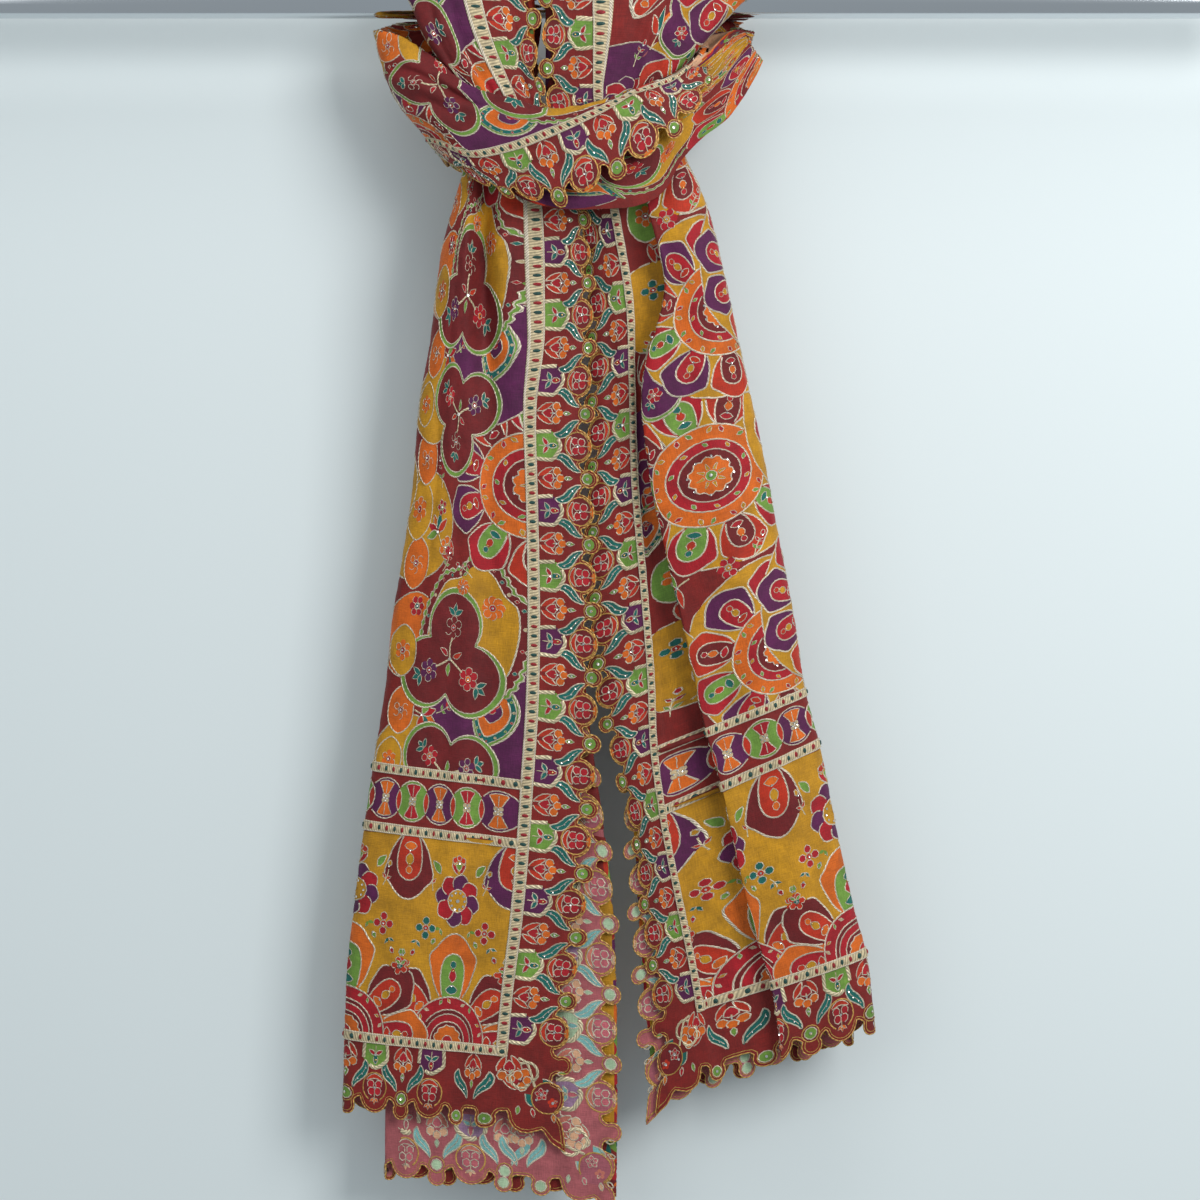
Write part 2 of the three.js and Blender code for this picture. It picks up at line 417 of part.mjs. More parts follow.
// The part of a sheet's grid between two columns and two rows, lifted off its face as a strip. face is +1 or -1: the side of the sheet it lies on.
const strip = (sh, c0, c1, r0, r1, face) => {
  const ids = []
  const tris = []
  for (let r = r0; r <= r1; r++) for (let c = c0; c <= c1; c++) ids.push(sh.grid[r][c])
  const w = c1 - c0 + 1
  for (let r = 0; r < r1 - r0; r++) {
    for (let c = 0; c < w - 1; c++) {
      const [a, b, d, e] = [r * w + c, r * w + c + 1, (r + 1) * w + c + 1, (r + 1) * w + c]
      tris.push(...(face > 0 ? [[a, b, d], [a, d, e]] : [[a, d, b], [a, e, d]]))
    }
  }
  const pts = ids.map((i) => sh.pts[i])
  const normals = ids.map((i) => sh.normals[i].clone().multiplyScalar(face))
  const lo = WALL / 2 + SEAM
  return wallGeometry(pts, normals, tris, lo, lo + BRAID_HEIGHT)
}

// Columns shared by every stretch: both edges of the side braid, the front layer, the folds, the rear layers.
const HALF = BRAID_WIDTH / 2
const REAR_COLS = [218, 250, 300, 345, 372, 380, 388, 470, 561, 570, 579, 660, 742]
const columnsFor = (tO) => [18, 33, SIDE_BRAID - HALF, SIDE_BRAID + HALF, ...between(68, tO - 12, 8), tO - 5, tO, tO + 5, tO + 11, ...REAR_COLS.filter((t) => t > tO + 20)]
const CLOTH = { color: 0x7a1a1c, roughness: 0.62, metalness: 0 }
const group = new THREE.Group()
const addMesh = (name, geometry, look) => {
  const mesh = new THREE.Mesh(geometry, new THREE.MeshStandardMaterial(look))
  mesh.name = name
  group.add(mesh)
}
const BRAID = { color: 0xb9a88a, roughness: 0.7, metalness: 0.1 }

// A grid's columns are laid out for an outer fold at one flat distance; each row moves them to its own.
const followFold = (t, laid, here) => {
  const b = SIDE_BRAID + HALF
  if (t <= b) return t
  if (t < laid) return b + ((t - b) * (here - b)) / (laid - b)
  if (t < laid + 20) return t - laid + here
  return t >= 340 ? t : here + 20 + ((t - laid - 20) * (320 - here)) / (320 - laid)
}
// Levels at which the tail, the rise and the loop follow on from each other.
const TOP = { left: 784, right: 757 }
const END = { left: 978, right: 962 }
const bands = (s) => [s - HALF, s + HALF]
const LOW_ROWS = [18, ...bands(HEM_BRAID), 112, 168, ...bands(PANEL_BRAIDS[0]), ...bands(PANEL_BRAIDS[1])]
const TAIL_ROWS = {
  left: [...LOW_ROWS, 345, 410, 475, 540, 595, 640, 676, 708, 734, 760, TOP.left - SEAM / 2],
  right: [...LOW_ROWS, 345, 410, 470, 530, 580, 620, 660, 690, 715, 738, TOP.right - SEAM / 2],
}
const RISE_ROWS = {
  left: [TOP.left + SEAM / 2, 806, 827, 845, 862, 884, 906, 919, 932, 945, 957, 969, END.left],
  right: [TOP.right + SEAM / 2, 778, 800, 822, 845, 867, 890, 903, 916, 929, 941, 953, END.right],
}
const seen = {}
for (const side of ['left', 'right']) {
  const face = side === 'left' ? 1 : -1
  const point = (s, t) => strandPoint(side, s, followFold(t, 190, rowAt(side, s).r.tO))
  // the hanging tail
  const rows = TAIL_ROWS[side]
  const top = rows[rows.length - 1]
  const cols = columnsFor(190)
  const rearTop = 330
  const front = turned(scallops(sideLobes(43, top)), ([s, d]) => [d, s], true)
  const far = turned(scallops(sideLobes(43, rearTop)), ([s, d]) => [CLOTH_WIDTH - d, s])
  const tail = sheet({
    point, rows, cols,
    around: joined(
      plain([[NOTCH, top], front.base[0]]), front, CORNER, scallops(hemLobes()),
      turned(CORNER, ([t, s]) => [CLOTH_WIDTH - t, s], true), far,
      plain([far.base[far.base.length - 1], ...rows.filter((s) => s > rearTop + 10).map((s) => [CLOTH_WIDTH - NOTCH, s])]),
    ),
  })
  addMesh(side + '_tail', wallGeometry(tail.pts, tail.normals, tail.tris, -WALL / 2, WALL / 2), CLOTH)
  const col = (t) => cols.findIndex((c) => Math.abs(c - t) < 0.01)
  const row = (s) => rows.findIndex((r) => Math.abs(r - s) < 0.01)
  const b0 = col(SIDE_BRAID - HALF)
  const b1 = col(SIDE_BRAID + HALF)
  addMesh(side + '_side_braid', strip(tail, b0, b1, row(HEM_BRAID - HALF), rows.length - 1, face), BRAID)
  const names = ['hem', 'wheel_low', 'wheel_high']
  ;[HEM_BRAID, ...PANEL_BRAIDS].forEach((s, i) => {
    const [r0, r1] = [row(s - HALF), row(s + HALF)]
    const last = cols.findIndex((c) => c > 205)
    const rear = cols.findIndex((c) => c > 346) - 1
    if (side === 'left') addMesh(`left_${names[i]}_braid`, strip(tail, b1 + 1, rear, r0, r1, face), BRAID)
    else {
      addMesh(`right_${names[i]}_braid_inner`, strip(tail, b1 + 1, b1 + 3, r0, r1, face), BRAID)
      addMesh(`right_${names[i]}_braid_outer`, strip(tail, b1 + 6, rear, r0, r1, face), BRAID)
    }
  })
  // the rise in front of the rail and the turn over it
  const upRows = RISE_ROWS[side]
  const upFold = side === 'left' ? 114 : 156
  const upCols = columnsFor(upFold)
  const [lo, hi] = [upRows[0], upRows[upRows.length - 1]]
  const lobes = turned(scallops(sideLobes(lo + 10, hi - 8)), ([s, d]) => [d, s], true)
  const rise = sheet({
    point: (s, t) => strandPoint(side, s, followFold(t, upFold, rowAt(side, s).r.tO)),
    rows: upRows, cols: upCols,
    sideA: joined(plain([[NOTCH, hi], lobes.base[0]]), lobes, plain([lobes.base[lobes.base.length - 1], [NOTCH, lo]])),
    sideB: plain(upRows.map((s) => [CLOTH_WIDTH - NOTCH, s])),
  })
  addMesh(side + '_rise', wallGeometry(rise.pts, rise.normals, rise.tris, -WALL / 2, WALL / 2), CLOTH)
  const u0 = upCols.findIndex((c) => Math.abs(c - SIDE_BRAID + HALF) < 0.01)
  addMesh(side + '_rise_braid', strip(rise, u0, u0 + 1, 0, upRows.length - 1, face), BRAID)
  seen[side] = { tail, rise }
}

// the loop
const RIB_ROWS = [0.02, 1, 2, 2.8, 3.4, 4, 4.5, 5, 5.6, 6.3, 7, 8, 9, 10, 11, 12, 13, 13.8, 14.5, 15.2, 15.8, 16.4, 17, 17.6, 18.2, 19, 19.98]
const loopCols = [...columnsFor(112).filter((t) => t < 345), 345, LOOP_REAR]
const alongLoop = (u) => smooth(ribKeys, ribLength, u)
const ribOf = (s) => {
  let [lo, hi] = [0, RIBS.length - 1]
  for (let i = 0; i < 40; i++) {
    const m = (lo + hi) / 2
    if (alongLoop(m) < s) lo = m
    else hi = m
  }
  return lo
}
const total = alongLoop(RIBS.length - 1)
const loopRows = RIB_ROWS.map(alongLoop)
const loopLobes = []
for (let s = 30, big = false; s < total - 20; s += SCALLOP_PITCH / 2, big = !big) loopLobes.push([s, big ? 'big' : 'small'])
const loopEdge = turned(scallops(loopLobes), ([s, d]) => [d, s], true)
const loop = sheet({
  point: (s, t) => {
    const u = ribOf(s)
    return loopPoint(u, followFold(t, 112, ribAt(u).q.tO))
  },
  rows: loopRows, cols: loopCols,
  sideA: joined(plain([[NOTCH, loopRows[loopRows.length - 1]], loopEdge.base[0]]), loopEdge, plain([loopEdge.base[loopEdge.base.length - 1], [NOTCH, loopRows[0]]])),
})
addMesh('loop', wallGeometry(loop.pts, loop.normals, loop.tris, -WALL / 2, WALL / 2), CLOTH)
addMesh('loop_braid', strip(loop, 2, 3, 1, RIB_ROWS.indexOf(12), 1), BRAID)

// the rail
const tube = [[RAIL_RADIUS, -0.5], [RAIL_RADIUS, 0.5], [RAIL_RADIUS - RAIL_WALL, 0.5], [RAIL_RADIUS - RAIL_WALL, -0.5], [RAIL_RADIUS, -0.5]]
const railGeometry = new THREE.LatheGeometry(tube.map(([r, y]) => new THREE.Vector2(r, y * RAIL_LENGTH)), 32)
railGeometry.rotateZ(Math.PI / 2)
addMesh('rail', railGeometry, { color: 0xb8bcc0, roughness: 0.18, metalness: 1 })

export default group
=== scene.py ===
import math
import random
import numpy as np
import bpy
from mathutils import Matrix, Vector
from mathutils.geometry import delaunay_2d_cdt
from mathutils.kdtree import KDTree


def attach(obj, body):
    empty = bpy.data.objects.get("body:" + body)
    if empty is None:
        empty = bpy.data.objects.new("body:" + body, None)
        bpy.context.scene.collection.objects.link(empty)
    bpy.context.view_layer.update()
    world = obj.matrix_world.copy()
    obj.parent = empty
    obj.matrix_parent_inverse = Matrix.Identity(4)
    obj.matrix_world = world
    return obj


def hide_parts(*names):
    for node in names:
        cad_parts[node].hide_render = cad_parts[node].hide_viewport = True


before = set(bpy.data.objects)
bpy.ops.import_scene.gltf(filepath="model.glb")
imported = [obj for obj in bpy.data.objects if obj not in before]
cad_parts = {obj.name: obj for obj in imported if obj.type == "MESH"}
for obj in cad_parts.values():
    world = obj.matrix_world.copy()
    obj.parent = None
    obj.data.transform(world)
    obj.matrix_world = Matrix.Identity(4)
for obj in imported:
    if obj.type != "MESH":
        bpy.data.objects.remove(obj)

# ------------------------------------------------------------ sizes, mm
GRID, GX0, GY0 = 0.8, 575, -2
WIDTH = 760
SIDE_BRAID, HEM_BRAID, PANELS, BRAID_W = 54, 62, (229, 276), 8.4
OVAL_PITCH = 7.6  # of the braid's raised ovals
PITCH, HEM_PITCH, NOTCH = 52, 52.9, 15.5
WRAP_RADIUS, WRAP_MID = 13.7, 20
SKIN = 0.45  # half the thickness of the shell
FRONT = 384  # flat distance that reaches just past the first outer fold
FOLDS = (380, 570)  # folds between the layers of a tail
MIRROR = 420  # the field is mirrored about half of this
FLOWER_0, SHIELD_0, HEM_0 = 54.8, 80.8, 115.5  # first flower and shield on the side, first shield on the hem
CORNER_SIDE, CORNER_HEM = 40.3, 46.5  # where the corner's own outline ends


def gx(x):
    """A photograph column as millimetres to the right."""
    return (x - GX0) * GRID


def gz(y):
    """A photograph row as millimetres up."""
    return (GY0 - y) * GRID


# ------------------------------------------------------------ interpolation
def spans(xs, x):
    return np.clip(np.searchsorted(xs, x, side="left") - 1, 0, len(xs) - 2)


def hermite(x0, x1, y0, y1, m0, m1, x):
    h = x1 - x0
    t = (x - x0) / h
    t2, t3 = t * t, t * t * t
    left = (2 * t3 - 3 * t2 + 1) * y0 + (t3 - 2 * t2 + t) * h * m0
    return left + (3 * t2 - 2 * t3) * y1 + (t3 - t2) * h * m1


def smooth(xs, Y, x):
    """Round curves through the rows Y at xs."""
    xs, Y, x = np.asarray(xs, float), np.asarray(Y, float), np.asarray(x, float)
    if Y.ndim == 1:
        Y = Y[:, None]
    h = np.diff(xs)[:, None]
    d = np.diff(Y, axis=0) / h
    m = np.empty_like(Y)
    m[0], m[-1] = d[0], d[-1]
    m[1:-1] = (d[:-1] * h[1:] + d[1:] * h[:-1]) / (h[:-1] + h[1:])
    i = spans(xs, x)
    return hermite(xs[i][:, None], xs[i + 1][:, None], Y[i], Y[i + 1], m[i], m[i + 1], x[:, None])


def tight(xs, Y, x):
    """Curves through the rows Y at xs that don't swing past them."""
    xs, Y, x = np.asarray(xs, float), np.asarray(Y, float), np.asarray(x, float)
    h = np.diff(xs)[:, None]
    d = np.diff(Y, axis=0) / h
    m = np.zeros_like(Y)
    m[0], m[-1] = d[0], d[-1]
    p, q = d[:-1], d[1:]
    a, b = h[:-1], h[1:]
    ok = p * q > 0
    m[1:-1][ok] = (3 * (a + b) / ((2 * b + a) / np.where(ok, p, 1) + (b + 2 * a) / np.where(ok, q, 1)))[ok]
    i = spans(xs, x)
    return hermite(xs[i][:, None], xs[i + 1][:, None], Y[i], Y[i + 1], m[i], m[i + 1], x[:, None])


def soft(a, b, x):
    """0 at a, 1 at b, eased between."""
    t = np.clip((np.asarray(x, float) - a) / (b - a), 0, 1)
    return t * t * (3 - 2 * t)


# ------------------------------------------------------------ the strands
COLUMNS = "s y0 y1 E B C D N O dE dB dC dD dN dM dO tD tN tO k f e g".split()
LEFT = np.array([
    [0, 1131, 1117, 570, 494, 478, 455, 430, 350, 15, 17, 18, 17, 19, 18, 14, 90, 112, 190, 616, 383, 622, 4.0],
    [62, 1053, 1038, 572, 501.5, 486, 462, 436, 352, 15, 17, 18, 17, 20, 18, 14, 88, 112, 190, 617, 384, 622, 4.0],
    [110, 993, 977, 577, 507, 492, 468, 442, 354, 16, 18, 18, 16, 20, 19, 14, 86, 112, 190, 617, 385, 622, 4.0],
    [164, 926, 909, 588, 515.5, 499, 474, 449, 361, 16, 18, 19, 16, 21, 20, 15, 85, 110, 190, 616, 388, 621, 4.0],
    [229, 845, 827, 595, 523, 506, 480, 455, 371, 17, 19, 19, 16, 21, 20, 15, 84, 108, 190, 612, 392, 618, 4.0],
    [276, 786, 768, 599, 527, 510, 484, 459, 379, 18, 20, 20, 16, 22, 21, 15, 83, 107, 190, 604, 398, 610, 4.0],
    [345, 700, 686, 602, 532.5, 515, 489, 463, 391, 19, 20, 21, 17, 23, 22, 16, 82, 107, 190, 590, 406, 594, 4.0],
    [401, 630, 620, 602, 534, 517, 492, 466, 397, 20, 21, 22, 18, 24, 23, 16, 82, 107, 190, 582, 412, 584, 4.0],
    [456, 561, 555, 600, 533.5, 517, 492, 468, 407, 21, 22, 23, 19, 24, 24, 17, 82, 107, 190, 580, 420, 581, 4.0],
    [511, 492, 488, 598, 532, 516, 491, 468, 416, 22, 23, 24, 20, 25, 25, 17, 82, 107, 190, 578, 428, 580, 4.0],
    [585, 400, 398, 595, 531, 512, 488, 466, 423, 22, 24, 26, 20, 27, 26, 18, 86, 112, 190, 577, 436, 579, 4.0],
    [633, 340, 340, 597, 538, 512, 486, 465, 433, 22, 25, 28, 15, 29, 28, 19, 92, 122, 190, 576, 444, 578, 4.0],
    [674, 289, 289, 596, 538, 508, 484.5, 466, 439, 22, 25, 30, 14, 31, 30, 20, 96, 128, 190, 575, 450, 577, 4.0],
    [713, 243, 243, 593, 537.5, 505, 483.5, 467, 446, 22, 25, 30, 14, 31, 29, 20, 98, 130, 188, 574, 456, 576, 4.0],
    [748, 199, 199, 588, 535, 506, 488, 474, 458, 20, 21, 23, 13, 24, 23, 17, 94, 122, 172, 572, 466, 574, 3.6],
    [784, 154, 154, 578, 528, 508, 495, 484, 470, 15, 16, 17, 12, 17.5, 17, 14, 84, 104, 142, 566, 476, 568, 3.3],
    [827, 98, 98, 548, 512, 501, 493, 486, 468, 14, 15, 16, 13.5, 16, 15, 13, 68, 80, 112, 540, 474, 541, 3.3],
    [845, 75, 75, 541.5, 501, 490, 480, 471, 453, 12.5, 13.5, 14.5, 12.5, 14.5, 14, 12, 66, 79, 106, 534, 460, 535, 3.2],
    [876, 36, 36, 541.5, 484.5, 472, 460, 450, 427.5, 12, 12.8, 13.6, 11.4, 14, 13.6, 11.6, 66, 80, 110, 534, 436, 535, 3.2],
    [906, -2, -2, 541.5, 474, 461, 449, 437, 411, 12, 12.8, 13.4, 11.2, 14, 13.4, 11.4, 66, 82, 116, 534, 420, 535, 3.2],
    [938, -2, -2, 543, 475, 461, 448, 435, 405, 12, 12.8, 13.4, 11.4, 13.8, 13.4, 11.4, 68, 86, 122, 536, 414, 537, 3.2],
    [969, -2, -2, 547, 480, 465, 450, 436, 404, 12, 12.8, 13.2, 11.6, 13.6, 13.2, 11.4, 70, 88, 128, 540, 413, 541, 3.2],
    [978, 9.2, 9.2, 548, 481, 466, 451, 437, 404, 12, 12.8, 13.2, 11.8, 13.6, 13.2, 11.4, 70, 88, 130, 541, 413, 542, 3.2],
])
RIGHT = np.array([
    [0, 1085, 1038, 652, 712, 722, 784, 782, 868, 12, 17, 15, 19, 29, 28, 20, 106, 112, 190, 656, 856, 642, 4.0],
    [62, 1008, 957, 652, 700, 709, 776, 771, 858, 12, 18, 15, 19, 30, 29, 21, 104, 112, 190, 648, 846, 636, 4.0],
    [100, 963, 912, 647, 692, 700, 764, 758, 846, 12, 18, 15, 19, 31, 30, 21, 102, 111, 190, 644, 834, 632, 4.0],
    [150, 905, 853, 640, 680, 688, 750, 743, 833, 12, 18, 15, 19, 32, 32, 22, 100, 110, 190, 640, 821, 628, 4.0],
    [229, 812, 747, 628, 662, 670, 731, 721, 812, 12, 18, 15, 19, 33, 34, 23, 95, 108, 190, 634, 800, 622, 4.0],
    [276, 753, 695, 612, 654, 662, 718, 706, 799, 12, 19, 15, 19, 34, 35, 24, 92, 107, 190, 628, 787, 616, 4.0],
    [340, 678, 625, 592, 651, 658, 705, 691, 789, 11, 18, 15, 19, 35, 37, 25, 89, 106, 190, 618, 776, 611, 4.0],
    [420, 580, 535, 585, 643.5, 651, 687, 670, 773, 10, 17, 15, 19, 35, 38, 26, 86, 105, 190, 611, 759, 608, 4.0],
    [500, 482, 445, 584, 635, 643, 670, 650, 757, 10, 17, 15, 19, 36, 39, 27, 83, 104, 190, 609, 742, 607, 4.0],
    [580, 383, 352, 584, 632, 639, 662, 643, 737, 10, 17, 15.5, 19, 36, 39, 27, 84, 108, 190, 608, 722, 606, 4.0],
    [650, 298, 275, 584, 629, 639, 680, 666, 721, 10, 18, 16, 19, 37, 38, 27, 97, 130, 190, 607, 706, 605, 4.0],
    [710, 222, 205, 580, 616, 628, 661, 650, 703, 11, 18, 15.5, 18, 32, 33, 24, 98, 132, 186, 604, 688, 602, 4.0],
    [757, 163, 152, 570, 606, 618, 640, 642, 680, 13, 15, 14, 14.5, 19, 20, 16, 92, 116, 160, 596, 668, 595, 3.4],
    [816, 92, 88, 541, 598, 611, 632, 640, 664, 12.5, 14, 14.5, 13, 15.5, 15, 13, 78, 92, 124, 547, 655, 546, 3.3],
    [840, 62, 60, 538.5, 599, 619, 646, 664, 686, 12, 13.4, 14, 12, 15, 14.5, 12.4, 90, 106, 134, 546, 676, 545, 3.2],
    [864, 32, 30, 538.5, 600, 628, 664, 684, 712, 12, 12.8, 13.8, 11.6, 14.6, 14, 12, 106, 124, 152, 546, 702, 545, 3.2],
    [890, -2, -2, 538.5, 600, 636, 690, 708, 744, 12, 12.8, 13.4, 11.4, 14.2, 13.4, 11.4, 126, 144, 176, 546, 734, 545, 3.2],
    [922, -2, -2, 541, 602, 637, 690, 708, 748, 12, 12.8, 13.4, 11.6, 13.8, 13.4, 11.4, 126, 144, 178, 549, 738, 548, 3.2],
    [953, -2, -2, 552, 608, 640, 690, 708, 748, 12, 12.8, 13.2, 11.8, 13.6, 13.2, 11.4, 124, 142, 178, 560, 738, 559, 3.2],
    [962, 9.2, 9.2, 553, 609, 641, 690, 708, 748, 12, 12.8, 13.2, 11.8, 13.6, 13.2, 11.4, 124, 142, 178, 561, 738, 560, 3.2],
])
BACK_Z = [-970, -700, -400, -240, -170, -120, -70, -30, 0]
BACK_Y = [9, 8, 6, 3, -2, -8, -12, -14.4, -14.4]
# top: where the tail ends and the rise begins; fold: the rise's front fold
STRANDS = {
    "left": dict(side=-1, table=LEFT, top=784, end=978, rail=906, back=969, drop=52, drop_from=640, fold=112),
    "right": dict(side=1, table=RIGHT, top=757, end=962, rail=890, back=953, drop=6, drop_from=400, fold=160),
}


def strand_rows(name, ss, ts):
    """Middle of the cloth over a grid of lengths ss and flat distances ts."""
    st = STRANDS[name]
    side, tab = st["side"], st["table"]
    rows = smooth(tab[:, 0], tab, ss)
    P = np.zeros((len(ss), len(ts), 3))
    for i, s in enumerate(ss):
        r = dict(zip(COLUMNS, rows[i]))
        r["s"] = s
        lean = (2.5 + 5 * float(soft(720, 0, s))) * side
        g, wave = r["g"], 5 * float(soft(760, 600, s))
        O, k, f = gx(r["O"]), gx(r["k"]), gx(r["f"])
        q = np.array([
            (0, gx(r["E"]), r["dE"]),
            (SIDE_BRAID, gx(r["B"]), r["dB"]),
            (SIDE_BRAID + min(10, (r["tD"] - SIDE_BRAID) * 0.4), gx(r["C"]), r["dC"]),
            (r["tD"], gx(r["D"]), r["dD"]),
            (r["tN"], gx(r["N"]), r["dN"]),
            ((r["tN"] + r["tO"]) / 2, (gx(r["N"]) + O) / 2, r["dM"]),
            (r["tO"], O, r["dO"]),
            (r["tO"] + 8, O + lean, (r["dO"] + 0.5) / 2),
            (r["tO"] + 18, O + lean * 0.3, 0.6),
            (250, O + (k - O) * 0.27, 0.6 - wave),
            (300, O + (k - O) * 0.56, 0.6 - wave * 0.1),
            (345, O + (k - O) * 0.8, 0.6 - wave * 0.8),
            (374, k + side * 4, 0.6),
            (380, k, 0.6 + g * 0.5),
            (386, k + side * 4, 0.6 + g),
            (470, (k + f) / 2, 0.6 + g * 0.95),
            (564, f - side * 4, 0.6 + g),
            (570, f, 0.6 + g * 1.5),
            (576, f - side * 4, 0.6 + g * 2),
            (670, (gx(r["e"]) + f) / 2, 0.6 + g * 2.05),
            (760, gx(r["e"]), 0.6 + g * 2),
        ])
        xd = tight(q[:, 0], q[:, 1:], np.clip(ts, 0, None))
        x, d = xd[:, 0], xd[:, 1]
        x = np.where(ts < 0, gx(r["E"]) + ts * (gx(r["B"]) - gx(r["E"])) / SIDE_BRAID, x)
        d = d + soft(186, 176, ts) * soft(760, 700, s) * 0.7 * np.sin(s * 0.021 + ts * 0.055) * np.sin(ts * 0.03 + 0.4)
        tilt = (gz(r["y1"]) - gz(r["y0"])) / (O - gx(r["B"]))
        z = gz(r["y0"]) + tilt * (x - gx(r["B"]))
        z = z - st["drop"] * soft(204, 380, ts) * float(soft(st["drop_from"], 0, s))
        if s < 0:
            z = z + s
        if s <= st["rail"]:
            yb = smooth(BACK_Z, BACK_Y, np.clip(z, -970, 0))[:, 0]
            P[i] = np.stack([x, yb - d, np.minimum(z, 0)], 1)
        else:
            a = min((s - st["rail"]) / WRAP_MID, math.pi)
            over = max(0, s - st["back"])
            R = WRAP_RADIUS + d
            P[i] = np.stack([x, -R * math.cos(a), R * math.sin(a) - over], 1)
    return P


# ------------------------------------------------------------ the loop
RIB_COLUMNS = "ex ey eY bx by bY ox oy oY rx ry rY cx cy cY h tO g".split()
RIBS = np.array([
    [548, 11.2, 27.4, 481, 11.2, 28.2, 404, 11.2, 26.8, 409, 11.2, 27.4, 541, 11.2, 27.4, 0.6, 130, 3.2],
    [541, 50, 27.5, 466, 38, 29.0, 391, 14, 26.0, 395, 16, 26.5, 534, 52, 27.0, 2.0, 146, 3.2],
    [522, 98, 26.5, 450, 72, 28.0, 380, 19, 22.0, 384, 24, 22.0, 512, 98, 26.0, 4.0, 165, 3.2],
    [484, 140, 21.0, 432, 102, 20.0, 374, 24, 12.0, 378, 34, 12.5, 470, 128, 20.5, 6.0, 182, 3.2],
    [450, 163, 5.0, 427, 133, 4.0, 371, 29, -1.0, 376, 44, -1.0, 436, 142, 4.5, 8.0, 190, 3.0],
    [453, 168, -20.0, 430, 140, -20.0, 376, 31, -12.0, 384, 56, -14.0, 440, 148, -16.0, 8.0, 190, 3.0],
    [474, 184, -41.0, 448, 150, -39.0, 398, 36, -17.0, 412, 86, -28.0, 462, 160, -38.0, 6.0, 176, 3.0],
    [503, 200, -46.0, 474, 160, -48.0, 430, 56, -22.0, 452, 116, -40.0, 492, 184, -43.5, 6.0, 150, 3.0],
    [536, 210, -51.0, 512, 154, -54.0, 468, 89, -38.0, 488, 126, -47.0, 528, 206, -48.0, 4.0, 120, 3.0],
    [568, 213, -54.0, 546, 142, -57.0, 512, 105, -49.0, 520, 124, -50.0, 564, 214, -50.5, 2.0, 96, 3.0],
    [600, 197, -56.0, 576, 130, -58.0, 550, 116, -52.5, 560, 122, -52.5, 602, 214, -51.5, 1.5, 78, 3.0],
    [631, 180, -56.5, 604, 117, -58.5, 586, 112, -53.5, 594, 117, -53.5, 636, 211, -51.0, 1.0, 70, 3.0],
    [662, 158, -55.0, 630, 103, -57.0, 618, 103, -52.5, 626, 110, -52.5, 664, 196, -47.5, 1.0, 68, 3.0],
    [686, 134, -50.5, 652, 95, -53.5, 648, 92, -49.0, 652, 98, -49.5, 682, 165, -40.0, 1.0, 66, 3.0],
    [704, 106, -42.0, 674, 84, -46.0, 676, 78, -42.0, 678, 80, -42.5, 705, 139, -25.0, 1.0, 65, 3.0],
    [713, 80, -31.0, 693, 65, -33.0, 698, 58, -29.0, 710, 52, -30.0, 731, 117, -12.0, 1.0, 65, 3.0],
    [715, 58, -13.0, 699, 47, -9.0, 703, 42, -7.0, 728, 30, -17.0, 752, 86, -3.0, 1.0, 65, 3.0],
    [700, 46, 2.0, 686, 36, 2.0, 692, 31, 1.0, 744, 23, -6.0, 768, 52, 4.0, 1.0, 66, 3.0],
    [668, 44, 18.0, 682, 31, 17.0, 706, 27, 14.5, 760, 24, 8.0, 740, 76, 14.0, 2.0, 90, 3.0],
    [616, 36, 26.0, 648, 24, 26.5, 730, 20, 24.0, 752, 19, 22.0, 668, 62, 24.0, 2.0, 130, 3.1],
    [553, 11.2, 27.4, 609, 11.2, 28.2, 748, 11.2, 26.8, 744, 11.2, 27.4, 561, 11.2, 27.4, 0.6, 178, 3.2],
])
# place across the layer, half width, depth, from rib, to rib
CREASES = [
    (0.82, 0.07, 5.5, 4.6, 8.4),
    (0.6, 0.06, 4.0, 4.2, 7.6),
    (0.36, 0.06, 3.0, 4.4, 7.0),
    (0.75, 0.09, 3.0, 0.6, 3.6),
    (0.45, 0.09, 3.5, 0.6, 3.4),
]
LOOP_REAR = 380  # how far across the cloth the loop is built


def rib_at(u):
    """The rib's sizes and its five points, at rib number u."""
    q = dict(zip(RIB_COLUMNS, smooth(np.arange(len(RIBS)), RIBS, np.array([u]))[0]))
    return q, *[np.array([gx(q[p + "x"]), q[p + "Y"], gz(q[p + "y"])]) for p in "eborc"]


def unit(v):
    return v / np.maximum(np.linalg.norm(v, axis=-1, keepdims=True), 1e-9)


